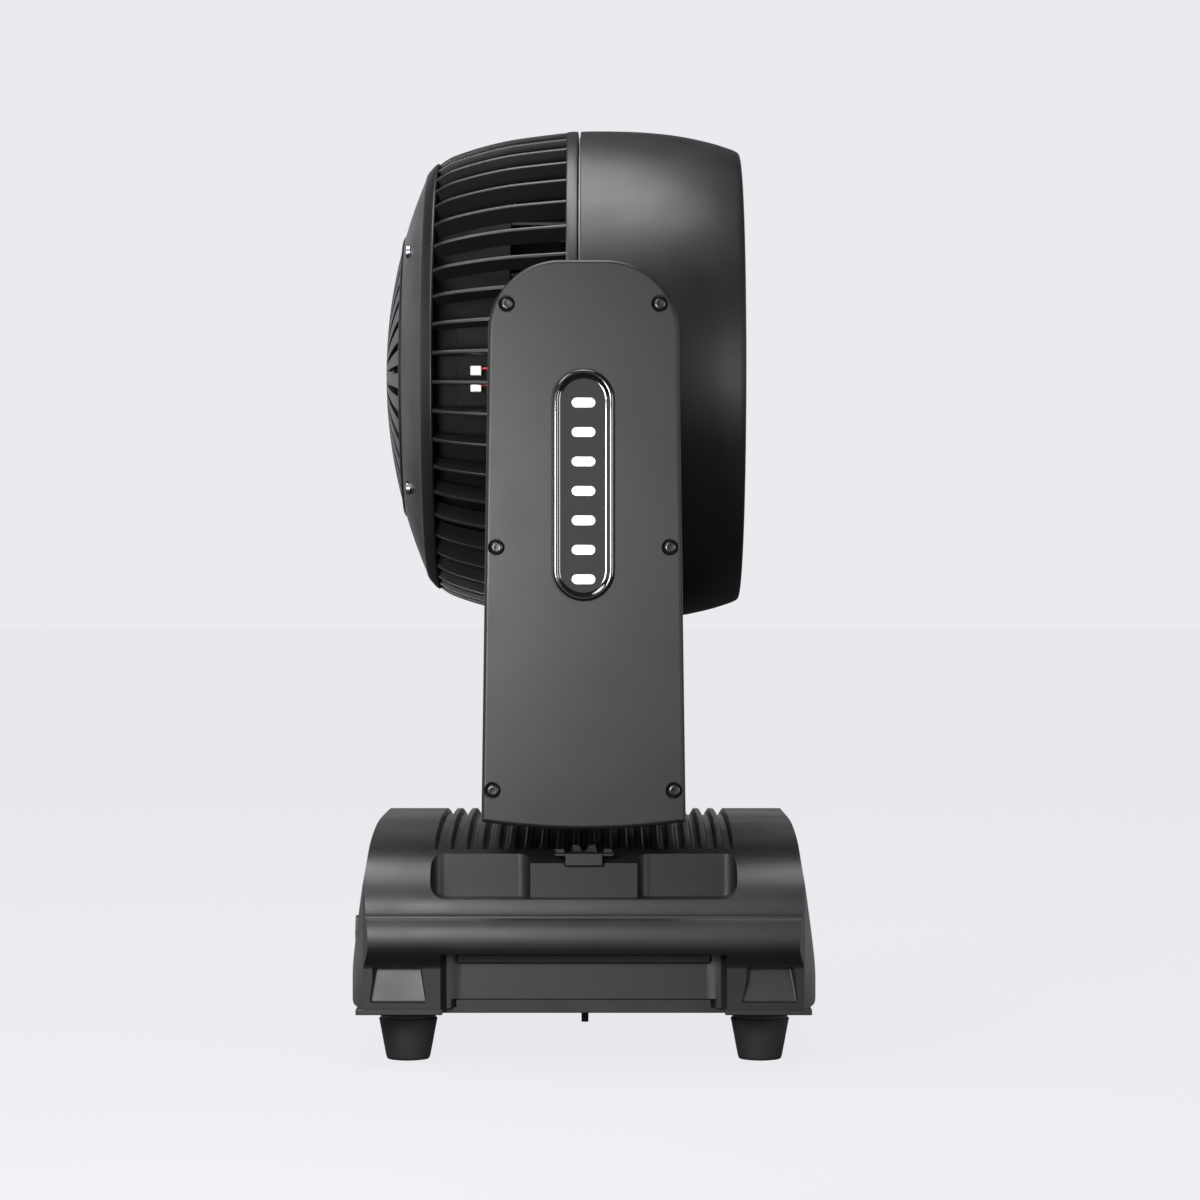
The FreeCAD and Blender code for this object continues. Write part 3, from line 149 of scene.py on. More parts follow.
def slot_outline(half_u: float, half_v: float, radius: float, u: float = 0, v: float = 0, steps: int = 8) -> Outline:
    """A rectangle with rounded corners.

    Args:
        half_u: Half width.
        half_v: Half height.
        radius: Corner radius.
        u: Centre, across.
        v: Centre, up.
        steps: Straight pieces in each corner.

    Returns:
        The closed outline.
    """
    points: Outline = []
    for quarter, (su, sv) in enumerate(((1, 1), (-1, 1), (-1, -1), (1, -1))):
        for k in range(steps + 1):
            angle = math.pi / 2 * (quarter + k / steps)
            points.append(
                (
                    u + su * (half_u - radius) + radius * math.cos(angle),
                    v + sv * (half_v - radius) + radius * math.sin(angle),
                )
            )
    return points


# ---------------------------------------------------------------- shaping
def put(plane: Plane, point: Point, level: float) -> Vector:
    """A point of a flat outline as a point in space.

    Args:
        plane: The outline's plane.
        point: The point.
        level: Its distance along the plane's normal.

    Returns:
        The point in space.
    """
    u, v = point
    if plane is Plane.XY:
        return Vector((u, v, level))
    if plane is Plane.XZ:
        return Vector((u, level, v))
    return Vector((level, u, v))


def tidy_normals(bm: bmesh.types.BMesh) -> None:
    """Merges doubles and turns every face outwards."""
    bmesh.ops.remove_doubles(bm, verts=bm.verts, dist=1e-5)
    bmesh.ops.recalc_face_normals(bm, faces=bm.faces)


def at_level(parts: Iterable[Any], axis: int, level: float) -> list[Any]:
    """Edges or faces whose corners all lie at one level.

    Args:
        parts: The edges or faces.
        axis: 0, 1 or 2 for X, Y or Z.
        level: The level along that axis.

    Returns:
        Those that lie there, in their order.
    """
    return [part for part in parts if all(abs(v.co[axis] - level) < 0.01 for v in part.verts)]


def bevel(bm: bmesh.types.BMesh, edges: Iterable[bmesh.types.BMEdge], width: float, segments: int = 3) -> None:
    """Rounds edges of a mesh.

    Args:
        bm: The mesh.
        edges: Its edges to be rounded.
        width: How far the rounding reaches from the edge.
        segments: Facets across it.
    """
    bmesh.ops.bevel(
        bm,
        geom=list(edges),
        offset=width,
        offset_type="OFFSET",
        affect="EDGES",
        segments=segments,
        profile=0.5,
        material=-1,
        clamp_overlap=True,
    )


def prism(plane: Plane, outline: Outline, start: float, end: float) -> bmesh.types.BMesh:
    """A flat outline pushed along its normal.

    Args:
        plane: The outline's plane.
        outline: Closed outline, in order.
        start: Level of the first face.
        end: Level of the second face.

    Returns:
        The closed solid.
    """
    bm = bmesh.new()
    face = bm.faces.new([bm.verts.new(put(plane, p, start)) for p in outline])
    pushed = bmesh.ops.extrude_face_region(bm, geom=[face])
    moved = [v for v in pushed["geom"] if isinstance(v, bmesh.types.BMVert)]
    bmesh.ops.translate(bm, verts=moved, vec=put(plane, (0, 0), end - start))
    tidy_normals(bm)
    return bm


def turned(profile: Outline, axis: Axis, centre: Sequence[float] = (0, 0, 0), steps: int = 96) -> bmesh.types.BMesh:
    """A closed profile turned once round an axis.

    Args:
        profile: Points as (along the axis, radius), in order round the section.
        axis: The axis.
        centre: A point on the axis.
        steps: Facets round the axis.

    Returns:
        The closed solid.
    """
    bm = bmesh.new()
    place = {
        Axis.X: lambda a, r: Vector((a, 0, r)),
        Axis.Y: lambda a, r: Vector((r, a, 0)),
        Axis.Z: lambda a, r: Vector((r, 0, a)),
    }[axis]
    way = {Axis.X: Vector((1, 0, 0)), Axis.Y: Vector((0, 1, 0)), Axis.Z: Vector((0, 0, 1))}[axis]
    verts = [bm.verts.new(place(a, r) + Vector(centre)) for a, r in profile]
    edges = [bm.edges.new((verts[i], verts[(i + 1) % len(verts)])) for i in range(len(verts))]
    bmesh.ops.spin(
        bm, geom=verts + edges, cent=Vector(centre), axis=way, angle=math.tau, steps=steps, use_merge=True
    )
    tidy_normals(bm)
    on_axis = [e for e in bm.edges if not e.link_faces]
    bmesh.ops.delete(bm, geom=on_axis, context="EDGES")
    return bm


def block(x: Point, y: Point, z: Point, round_by: float = 0.0, segments: int = 3) -> bmesh.types.BMesh:
    """A block with its edges rounded if asked.

    Args:
        x: Its extent along X.
        y: Its extent along Y.
        z: Its extent along Z.
        round_by: Width of the rounding, or 0.
        segments: Facets across the rounding.

    Returns:
        The closed solid.
    """
    bm = bmesh.new()
    bmesh.ops.create_cube(bm, size=1)
    bmesh.ops.scale(bm, vec=(x[1] - x[0], y[1] - y[0], z[1] - z[0]), verts=bm.verts)
    bmesh.ops.translate(bm, vec=((x[0] + x[1]) / 2, (y[0] + y[1]) / 2, (z[0] + z[1]) / 2), verts=bm.verts)
    if round_by:
        bevel(bm, bm.edges, round_by, segments)
    return bm


def rod(
    axis: Axis, radius: float, start: float, end: float, a: float = 0, b: float = 0, steps: int = 32, tip: float = 0
) -> bmesh.types.BMesh:
    """A cylinder along an axis.

    Args:
        axis: Its direction.
        radius: Its radius at start.
        start: Where it starts along the axis.
        end: Where it ends.
        a: First of its other two coordinates, in X, Y, Z order.
        b: Second of them.
        steps: Facets round it.
        tip: Radius at end, or 0 for the same radius.

    Returns:
        The closed solid.
    """
    bm = bmesh.new()
    bmesh.ops.create_cone(
        bm, cap_ends=True, segments=steps, radius1=radius, radius2=tip or radius, depth=end - start
    )
    turn = {
        Axis.X: Matrix.Rotation(math.pi / 2, 4, "Y"),
        Axis.Y: Matrix.Rotation(-math.pi / 2, 4, "X"),
        Axis.Z: Matrix.Identity(4),
    }[axis]
    middle = (start + end) / 2
    spot = {Axis.X: (middle, a, b), Axis.Y: (a, middle, b), Axis.Z: (a, b, middle)}[axis]
    bmesh.ops.transform(bm, matrix=Matrix.Translation(spot) @ turn, verts=bm.verts)
    return bm


def gathered(*solids: bmesh.types.BMesh) -> bmesh.types.BMesh:
    """Several solids kept side by side in one mesh.

    Args:
        *solids: The solids, of which all but the first are used up.

    Returns:
        The first, with the others in it.
    """
    whole = solids[0]
    for solid in solids[1:]:
        mesh = bpy.data.meshes.new("part")
        solid.to_mesh(mesh)
        solid.free()
        whole.from_mesh(mesh)
        bpy.data.meshes.remove(mesh)
    return whole


def as_object(bm: bmesh.types.BMesh, name: str = "tool") -> bpy.types.Object:
    """Turns a mesh being shaped into an object of the scene.

    Args:
        bm: The mesh, which is used up.
        name: The object's name.

    Returns:
        The object.
    """
    mesh = bpy.data.meshes.new(name)
    bm.to_mesh(mesh)
    bm.free()
    thing = bpy.data.objects.new(name, mesh)
    bpy.context.scene.collection.objects.link(thing)
    return thing


def taken(thing: bpy.types.Object) -> bmesh.types.BMesh:
    """Turns an object back into a mesh being shaped.

    Args:
        thing: The object, which is used up.

    Returns:
        Its mesh, on its own.
    """
    bm = bmesh.new()
    bm.from_mesh(thing.data)
    bpy.data.objects.remove(thing)
    return bm


def carve(body: bpy.types.Object, tool: bmesh.types.BMesh, how: Cut = Cut.AWAY) -> None:
    """Combines an object with a solid, and keeps the result as its mesh.

    Args:
        body: The object that is changed.
        tool: The solid, which is used up.
        how: What is kept.
    """
    cutter = as_object(tool)
    modifier = body.modifiers.new("cut", "BOOLEAN")
    modifier.object = cutter
    modifier.operation = how.value
    modifier.solver = "MANIFOLD"
    graph = bpy.context.evaluated_depsgraph_get()
    old = body.data
    body.data = bpy.data.meshes.new_from_object(body.evaluated_get(graph))
    body.modifiers.clear()
    bpy.data.meshes.remove(old)
    spent = cutter.data
    bpy.data.objects.remove(cutter)
    bpy.data.meshes.remove(spent)


def smooth(thing: bpy.types.Object, sharp_degrees: float) -> None:
    """Shades a mesh smooth, but for the edges that turn more than an angle."""
    for polygon in thing.data.polygons:
        polygon.use_smooth = True
    thing.data.set_sharp_from_angle(angle=math.radians(sharp_degrees))


def soften(thing: bpy.types.Object, width: float, segments: int = 3, angle: float = 32.0) -> None:
    """Rounds the hard edges of a settled piece.

    Args:
        thing: The piece.
        width: Width of the rounding, in millimetres.
        segments: Facets across it.
        angle: The angle in degrees from which an edge counts as hard.
    """
    modifier = thing.modifiers.new("edge_round", "BEVEL")
    modifier.width = width * MM
    modifier.segments = segments
    modifier.limit_method = "ANGLE"
    modifier.angle_limit = math.radians(angle)
    modifier.use_clamp_overlap = True
    modifier.miter_outer = "MITER_ARC"


def settle(
    thing: bpy.types.Object | bmesh.types.BMesh,
    name: str,
    body: str,
    finish: "Finish",
    replaced: Sequence[str] = (),
    edge: float = 0.0,
    sharp: float = 35.0,
    in_metres: bool = False,
) -> bpy.types.Object:
    """Gives a piece its scale, shading, finish and body.

    Args:
        thing: The piece, shaped in millimetres.
        name: Its name.
        body: The body that it rides on.
        finish: What it is made of.
        replaced: The CAD nodes that it stands for.
        edge: Width of the rounding on its hard edges, in millimetres.
        sharp: The angle in degrees from which an edge stays crisp.
        in_metres: Whether the mesh is in metres already.

    Returns:
        The finished piece.
    """
    if isinstance(thing, bmesh.types.BMesh):
        thing = as_object(thing, name)
    thing.name = thing.data.name = name
    if not in_metres:
        thing.data.transform(Matrix.Scale(MM, 4))
    thing.data.materials.clear()
    thing.data.materials.append(finish.material())
    smooth(thing, sharp)
    if edge:
        soften(thing, edge)
    flat = thing.modifiers.new("flat_faces", "WEIGHTED_NORMAL")
    flat.keep_sharp = True
    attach(thing, body)
    if replaced:
        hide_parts(*replaced)
    LOG.info("%s rides on %s, %d faces", name, body, len(thing.data.polygons))
    return thing


def reworked(node: str, name: str, body: str, finish: "Finish", edge: float) -> bpy.types.Object:
    """A copy of a CAD node with its facets merged and its edges rounded, which stands for the node.

    Args:
        node: The CAD node.
        name: Name of the new piece.
        body: The body that it rides on.
        finish: What it is made of.
        edge: Width of the edge rounding, in millimetres.

    Returns:
        The finished piece.
    """
    bm = bmesh.new()
    bm.from_mesh(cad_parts[node].data)
    bmesh.ops.remove_doubles(bm, verts=bm.verts, dist=2e-6)
    bmesh.ops.dissolve_limit(
        bm, angle_limit=math.radians(0.6), verts=bm.verts, edges=bm.edges, use_dissolve_boundaries=False
    )
    return settle(bm, name, body, finish, [node], edge, 30.0, in_metres=True)


def dress(**looks: "Finish") -> None:
    """Gives CAD nodes that keep their own shape their finishes.

    Args:
        **looks: The finish of each node, by the node's name.
    """
    for node, finish in looks.items():
        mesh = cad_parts[node].data
        mesh.materials.clear()
        mesh.materials.append(finish.material())
        LOG.info("%s keeps its shape, in %s", node, finish.name)


# ---------------------------------------------------------------- finishes
def srgb(text: str) -> tuple[float, float, float, float]:
    """An sRGB hex colour as linear values.

    Args:
        text: The colour, as #rrggbb.

    Returns:
        Red, green, blue and alpha.
    """
    values = [int(text[i : i + 2], 16) / 255 for i in (1, 3, 5)]
    linear = [v / 12.92 if v <= 0.04045 else ((v + 0.055) / 1.055) ** 2.4 for v in values]
    return (linear[0], linear[1], linear[2], 1.0)


def add_node(tree: bpy.types.NodeTree, kind: str, inputs: dict[str | int, Any] | None = None, **settings: Any) -> Any:
    """Adds a shader node.

    Args:
        tree: The node tree.
        kind: The node's type, without its ShaderNode prefix.
        inputs: Values or sockets for its inputs.
        **settings: Properties of the node.

    Returns:
        The node.
    """
    node = tree.nodes.new("ShaderNode" + kind)
    for key, value in settings.items():
        setattr(node, key, value)
    for key, value in (inputs or {}).items():
        if isinstance(value, bpy.types.NodeSocket):
            tree.links.new(value, node.inputs[key])
        else:
            node.inputs[key].default_value = value
    return node


@dataclass(frozen=True)
class Finish:
    """A material and how its surface was made.

    grain is the spacing of its surface texture and relief the texture's depth, in millimetres.
    drift is how far its gloss varies over patches of the size patch, in millimetres.
    """

    name: str
    light: str
    dark: str
    roughness: float
    ior: float = 1.5
    metallic: float = 0.0
    grain: float = 0.6
    relief: float = 0.01
    drift: float = 0.05
    patch: float = 45.0
    coat: float = 0.0
    transmission: float = 0.0
    stretch: tuple[float, float, float] = (1.0, 1.0, 1.0)
    # Paleness of sharp convex edges: partly real wear, partly a painted edge highlight.
    edge_wear_and_highlight: float = 0.0

    def material(self) -> bpy.types.Material:
        """The material, made once and then shared."""
        known = bpy.data.materials.get(self.name)
        return known or self.build()

    def build(self) -> bpy.types.Material:
        """Makes the material's nodes.

        Returns:
            The material.
        """
        made = bpy.data.materials.new(self.name)
        made.use_nodes = True
        tree = made.node_tree
        tree.nodes.clear()
        place = add_node(tree, "TexCoord").outputs["Object"]
        fixed: dict[str | int, Any] = {
            "Metallic": self.metallic,
            "IOR": self.ior,
            "Coat Weight": self.coat,
            "Coat Roughness": 0.06,
            "Transmission Weight": self.transmission,
        }
        shader = add_node(tree, "BsdfPrincipled", fixed)
        tree.links.new(self.colour(tree, place), shader.inputs["Base Color"])
        tree.links.new(self.gloss(tree, place), shader.inputs["Roughness"])
        tree.links.new(self.texture(tree, place), shader.inputs["Normal"])
        add_node(tree, "OutputMaterial", {"Surface": shader.outputs["BSDF"]})
        return made

    def colour(self, tree: bpy.types.NodeTree, place: bpy.types.NodeSocket) -> bpy.types.NodeSocket:
        """Colour that wanders a little between two shades, and is paler on sharp convex edges: partly wear, partly a
        painted edge highlight.

        Args:
            tree: The node tree.
            place: The Object coordinates.

        Returns:
            The colour.
        """
        cloud = add_node(tree, "TexNoise", {"Vector": place, "Scale": 1 / (self.patch * MM), "Detail": 3.0})
        spread = add_node(
            tree, "MapRange", {"Value": cloud.outputs["Fac"], "From Min": 0.3, "From Max": 0.7}
        )
        mixed = add_node(
            tree,
            "Mix",
            {"Factor": spread.outputs["Result"], 6: srgb(self.dark), 7: srgb(self.light)},
            data_type="RGBA",
        ).outputs[2]
        if not self.edge_wear_and_highlight:
            return mixed
        # Convex edges are mixed towards pale grey: rubbed oxide and a painted edge highlight together.
        bend = add_node(tree, "NewGeometry").outputs["Pointiness"]
        worn_and_highlit_edges = add_node(
            tree, "MapRange", {"Value": bend, "From Min": 0.53, "From Max": 0.62, "To Max": self.edge_wear_and_highlight}
        )
        return add_node(
            tree,
            "Mix",
            {"Factor": worn_and_highlit_edges.outputs["Result"], 6: mixed, 7: srgb("#8a8c8e")},
            data_type="RGBA",
        ).outputs[2]

    def gloss(self, tree: bpy.types.NodeTree, place: bpy.types.NodeSocket) -> bpy.types.NodeSocket:
        """Roughness that drifts over broad patches, as handling leaves it.

        Args:
            tree: The node tree.
            place: The Object coordinates.

        Returns:
            The roughness.
        """
        smear = add_node(
            tree, "TexNoise", {"Vector": place, "Scale": 1.7 / (self.patch * MM), "Detail": 5.0}
        )
        return add_node(
            tree,
            "MapRange",
            {
                "Value": smear.outputs["Fac"],
                "From Min": 0.25,
                "From Max": 0.75,
                "To Min": self.roughness - self.drift,
                "To Max": self.roughness + self.drift,
            },
        ).outputs["Result"]

    def texture(self, tree: bpy.types.NodeTree, place: bpy.types.NodeSocket) -> bpy.types.NodeSocket:
        """Fine relief: tool texture, brushing or casting skin, by how it is stretched.

        Args:
            tree: The node tree.
            place: The Object coordinates.

        Returns:
            The bent normal.
        """
        laid = add_node(tree, "Mapping", {"Vector": place, "Scale": self.stretch})
        grain = add_node(
            tree,
            "TexNoise",
            {"Vector": laid.outputs["Vector"], "Scale": 1 / (self.grain * MM), "Detail": 2.0, "Roughness": 0.6},
        )
        return add_node(
            tree,
            "Bump",
            {"Height": grain.outputs["Fac"], "Distance": self.relief * MM, "Strength": 1.0},
        ).outputs["Normal"]


@dataclass(frozen=True)
class Glow(Finish):
    """A backlit surface that gives a little light of its own."""

    strength: float = 1.0

    def build(self) -> bpy.types.Material:
        """Adds the glow to the plain finish.

        Returns:
            The material.
        """
        made = super().build()
        shader = next(n for n in made.node_tree.nodes if n.type == "BSDF_PRINCIPLED")
        shader.inputs["Emission Color"].default_value = srgb(self.light)
        shader.inputs["Emission Strength"].default_value = self.strength
        return made


# Housings of ABS from a spark-eroded tool: charcoal, satin, broad soft highlights. The real texture is
# about 0.1 mm, too fine to show, so it is drawn at 0.7 mm.
HOUSING = Finish("abs_spark_eroded_charcoal", "#1a1b1c", "#161717", 0.43, 1.44, grain=0.7, relief=0.012)
# The cage and cap, moulded in the same plastic with a slightly smoother tool.
CAGE = Finish("abs_cage_charcoal", "#191a1b", "#151616", 0.4, 1.44, grain=0.7, relief=0.012)
# Powder-coated sheet steel: a slight orange peel about 2 mm across.
POWDER = Finish("steel_powder_coat_black", "#1a1b1c", "#161718", 0.45, 1.5, grain=2.0, relief=0.02, coat=0.1)
# Moulded nitrile rubber: matt, with a faint bloom.
RUBBER = Finish("nitrile_rubber_black", "#1e2021", "#191a1b", 0.62, 1.52, grain=0.9, relief=0.03, patch=14.0)
# Silicone keys, compression moulded: soft and matt.
SILICONE = Finish("silicone_grey", "#4a4c50", "#424448", 0.6, 1.41, grain=0.8, relief=0.01, patch=12.0)
# Polycarbonate badge, moulded glossy.
BADGE = Finish(
    "polycarbonate_gloss_black", "#0d0e0f", "#0a0b0c", 0.1, 1.58, grain=3.0, relief=0.002, drift=0.03, coat=0.6
)
# Silver foil, hot stamped on raised marks.
SILVER = Finish("hot_foil_silver", "#f2f3f5", "#e4e5e8", 0.35, 1.5, 0.15, grain=0.8, relief=0.004, patch=10.0)
# Black-oxide steel screws: dark, oily, with pale corners that are partly wear and partly a painted highlight.
OXIDE = Finish(
    "steel_black_oxide", "#3a3a3c", "#2a2a2b", 0.3, 1.5, 0.85, grain=0.8, relief=0.006, patch=4.0, edge_wear_and_highlight=0.5
)
# Stamped and turned steel with a bright zinc plate.
ZINC = Finish("steel_zinc_plated", "#c4c8cc", "#aab0b6", 0.28, 1.5, 1.0, grain=0.8, relief=0.004, patch=6.0)
# Bare steel, ground in one direction.
GROUND = Finish("steel_ground", "#b9babc", "#a3a5a8", 0.3, 1.5, 1.0, grain=0.5, relief=0.006, stretch=(1, 12, 1))
# Die-cast aluminium, shot blasted.
CAST = Finish("aluminium_die_cast", "#8f9194", "#7f8184", 0.5, 1.5, 1.0, grain=1.6, relief=0.03)
# Extruded aluminium, black anodised, with faint die lines.
ANODISED = Finish(
    "aluminium_black_anodised", "#0f1011", "#0b0c0c", 0.5, 1.35, 0.1, grain=0.5, relief=0.01, stretch=(12, 1, 1)
)
# Nylon straight from a fine satin tool: natural, and black with glass fibre.
NYLON_WHITE = Finish("nylon_natural", "#f6f5f0", "#eceae2", 0.4, 1.53, grain=0.7, relief=0.008, patch=8.0)
NYLON_BLACK = Finish("nylon_glass_filled_black", "#1d1e1f", "#171819", 0.5, 1.53, grain=0.8, relief=0.02, patch=15.0)
# The fan's plastic, moulded dull black.
PBT = Finish("pbt_fan_black", "#0b0b0c", "#080808", 0.7, 1.3, grain=1.0, relief=0.01)
# Circuit boards: a green mask rolled over glass epoxy, and a white one over aluminium.
BOARD = Finish(
    "glass_epoxy_green_mask", "#12402a", "#0e3522", 0.32, 1.55, grain=1.2, relief=0.01, patch=6.0, coat=0.3
)
BOARD_WHITE = Finish("aluminium_board_white_mask", "#e4e5e3", "#d8dad8", 0.35, 1.5, grain=1.2, relief=0.01, patch=8.0)
# Free-cutting brass, turned, with fine tool rings.
BRASS = Finish("brass_turned", "#c9a45c", "#b18f4e", 0.25, 1.5, 1.0, grain=0.5, relief=0.006, stretch=(1, 1, 8))
# Neoprene, moulded round cords, matt.
BELT = Finish("neoprene_belt", "#1a1a1b", "#141415", 0.65, 1.52, grain=0.9, relief=0.03, patch=8.0)
# Dyed nylon from a satin tool.
INLET = Finish("nylon_inlet_blue", "#2a4f8f", "#244680", 0.42, 1.53, grain=0.8, relief=0.01, patch=10.0)
# Clear plastics from polished tools: smoked pane, lenses and light guides.
SMOKED = Finish("acrylic_smoked", "#0b0c0e", "#08090a", 0.05, 1.49, grain=3.0, relief=0.001, drift=0.02, coat=0.4)
LENS = Finish(
    "acrylic_lens_clear", "#f6f8fa", "#f2f5f8", 0.05, 1.49, grain=3.0, relief=0.001, drift=0.02, transmission=1.0
)
GUIDE = Finish("polycarbonate_guide", "#e9edf0", "#dfe4e8", 0.12, 1.58, grain=2.0, relief=0.002, transmission=0.7)
# PVC drawn round a wire: smooth, with a slight sheen.
WIRE_RED = Finish("pvc_wire_red", "#b32020", "#8e1717", 0.4, 1.53, grain=1.0, relief=0.004, patch=6.0)
# Display glass, polished, lit from behind.
SCREEN = Glow("screen_backlit", "#1d3f52", "#173445", 0.3, 1.5, grain=1.0, relief=0.001, patch=20.0, strength=0.35)


# ---------------------------------------------------------------- base
@dataclass
class Base:
    """The base: sculpted cover, steel tray, feet, panels, sockets, keys, lock and what is inside."""

    half_length: float = 130.0
    half_width: float = 185.0
    crown: float = 127.5
    crown_radius: float = 858.0
    grip_half: float = 81.5
    grip_low: float = 89.5
    grip_high: float = 114.0
    grip_back: float = 149.0
    grip_corner: float = 8.5
    grip_cove: float = 7.0
    housing_half: float = 28.5
    housing_face: float = 157.5
    pod: Point = (100.3, 44.2)
    pod_half: Point = (15.1, 9.6)
    waist_top: float = 60.5
    post_clearance: float = 54.0
    window_half: Point = (104.0, 22.75)
    window_height: float = 62.75
    panel_face: float = 118.0
    groove_pitch: float = 8.6
    groove_count: int = 19
    feet: tuple[Point, ...] = ((-95, -128), (95, -128), (95, 128), (-95, 128))
    foot_profile: Outline = field(
        default_factory=lambda: [
            (0.0, 8.6), (0.7, 9.4), (0.2, 10.2), (0.5, 11.4), (2.6, 12.1), (21.6, 15.6), (22.2, 15.9),
            (22.6, 15.4), (22.9, 14.9), (24.4, 14.9), (24.8, 15.3), (27.6, 15.6), (28.0, 15.4),
        ]
    )

    def build(self) -> None:
        """Builds and dresses the whole base."""
        self.cover()
        self.rubber_feet()
        self.panels()
        self.inside()

    def section(self) -> Outline:
        """The cover's section across the base, from the tray to the crown.

        Returns:
            The closed outline as (y, z).
        """
        side = [
            (170, 30.9), (170, 30.9), (170, 51), (170, 54), (172.5, 57), (177.0, 62), (177.9, 67.5), (176.9, 74),
            (174.9, 78.5), (173.6, 80), (173.9, 82.5), (172.6, 90), (167.5, 99), (158, 108), (146, 113.8),
        ]
        crown = [(y, self.crown_top(y)) for y in (128, 96, 64, 32)]
        return eased(both_ways(side + crown))

    def end_section(self) -> Outline:
        """The cover's outline along the base: the ends lean in to a tight corner.

        Returns:
            The closed outline as (x, z).
        """
        half = [
            (118.5, 30.9), (118.5, 30.9), (124.2, 31.6), (125.2, 36.5), (124.5, 50), (119.4, 84), (116.2, 104),
            (115.4, 113), (115.3, 121), (114.6, 126.6), (108.5, 129.2), (90, 130), (90, 130),
        ]
        return eased(both_ways(half))

    def footprint(self) -> Outline:
        """The cover seen from above, with its corners turned in.

        Returns:
            The closed outline as (x, y).
        """
        half = [
            (113.8, -178.4), (113.8, -178.4), (117.0, -169.0), (121.0, -157.0), (124.4, -142.0), (125.4, -120.0),
        ]
        right = half + [(x, -y) for x, y in reversed(half)]
        return eased(right + [(-x, -y) for x, y in right], closed=True)

    def cover(self) -> None:
        """The moulded cover with its recesses, pod pockets, grooves and openings."""
        shell = as_object(prism(Plane.YZ, self.section(), -self.half_length, self.half_length), "cover")
        carve(shell, prism(Plane.XZ, self.end_section(), -self.half_width, self.half_width), Cut.SHARED)
        carve(shell, prism(Plane.XY, self.footprint(), 20, 140), Cut.SHARED)
        carve(shell, self.hollow())
        for side in (-1, 1):
            self.carve_side(shell, side)
        carve(shell, rod(Axis.Z, self.post_clearance, 100, 140, steps=96))
        for end in (-1, 1):
            mouth = slot_outline(*self.window_half, 3, 0, self.window_height)
            carve(shell, prism(Plane.YZ, mouth, end * 108, end * 140))
        carve(shell, self.grooves())
        settle(shell, "base_moulding", "base", HOUSING, ["base_cover"], edge=0.7, sharp=28)

    def hollow(self) -> bmesh.types.BMesh:
        """The space inside the cover.

        Returns:
            The solid that is cut away.
        """
        half = [
            (155, 20), (155, 61), (168, 64), (168, 76), (168.5, 88), (163, 99), (137, 110.5), (90, 116.5),
            (40, 120.5),
        ]
        room = as_object(prism(Plane.YZ, both_ways(half), -117, 117), "room")
        lean = [(117.0, 19.0), (117.0, 80.0), (111.0, 109.0), (102.0, 130.0)]
        carve(room, prism(Plane.XZ, both_ways(lean), -180, 180), Cut.SHARED)
        for low, high in ((-190, -145), (145, 190)):
            carve(room, block((-85, 85), (low, high), (86, 130)))
        return taken(room)

    def carve_side(self, shell: bpy.types.Object, side: int) -> None:
        """Cuts one long side: hand recess, lock slot, waist and the scoops of its two pods.

        Args:
            shell: The cover.
            side: -1 for the side of the pan lock, 1 for the other.
        """
        near, far = side * self.housing_face, side * 190.0
        middle = (self.grip_low + self.grip_high) / 2
        high = (self.grip_high - self.grip_low) / 2
        recess = slot_outline(self.grip_half, high, self.grip_corner, 0, middle, 10)
        carve(shell, prism(Plane.XZ, recess, near, far))
        for end in (-1, 1):
            carve(shell, self.finger_well(side, end, middle, high))
            self.carve_pod(shell, side, end)
        flank = [(76.0, 190.0), (76.0, 170.2), (75.0, 165.6), (73.0, 161.6), (69.8, 159.1), (65.0, 158.2)]
        waist = flank + [(-x, y) for x, y in reversed(flank)]
        cutter = prism(Plane.XY, [(x, side * y) for x, y in waist], 20, self.waist_top)
        for vert in cutter.verts:
            if vert.co.z < 21 and abs(vert.co.y) < 160:
                vert.co.y += side * 2.6
        bevel(cutter, at_level(cutter.edges, 2, self.waist_top), 1.4, 4)
        carve(shell, cutter)
        step = [(-75.0, 170.2), (-66.0, 152.0), (66.0, 152.0), (75.0, 170.2), (75.0, 190.0), (-75.0, 190.0)]
        carve(shell, prism(Plane.XY, [(x, side * y) for x, y in step], 20, 35.8))
        ledge = block((-67.5, 67.5), tuple(sorted((side * 156.8, side * 161.0))), (54.6, 59.4), 1.0, 3)
        carve(shell, ledge, Cut.JOINED)
        if side < 0:
            carve(shell, block((-10.5, 10.5), (-190, -141), (106, 140)))
            carve(shell, block((-16, 16), (-190, -143), (111, 140)))
            carve(shell, block((-6.5, 6.5), (-147, -136), (106, 119)))

    def finger_well(self, side: int, end: int, middle: float, high: float) -> bmesh.types.BMesh:
        """The deep part of a hand recess beside the lock housing, with coved ends.

        Args:
            side: -1 or 1, the long side.
            end: -1 or 1, the end of the recess.
            middle: Height of its middle.
            high: Half its height.

        Returns:
            The solid that is cut away.
        """
        inner, outer = end * self.housing_half, end * self.grip_half
        centre, half = (inner + outer) / 2, abs(outer - inner) / 2
        # The corners next to the housing are square, so their points move out to the corner.
        squared: Outline = []
        for x, z in slot_outline(half, high, self.grip_corner, centre, middle, 10):
            if abs(x - inner) < self.grip_corner + 0.1:
                x, z = inner, middle + math.copysign(high, z - middle)
            if not squared or math.dist((x, z), squared[-1]) > 0.01:
                squared.append((x, z))
        back, cove = self.grip_back, self.grip_cove
        bend = 0.293 * cove
        plan = [
            (inner, 190.0),
            *arc((inner, back + cove), (inner + end * bend, back + bend), (inner + end * cove, back)),
            *arc((outer - end * cove, back), (outer - end * bend, back + bend), (outer, back + cove)),
            (outer, 190.0),
        ]
        well = as_object(prism(Plane.XY, [(x, side * y) for x, y in plan], middle - 20, middle + 20), "well")
        carve(well, prism(Plane.XZ, squared, side * (back - 2), side * 195.0), Cut.SHARED)
        return taken(well)

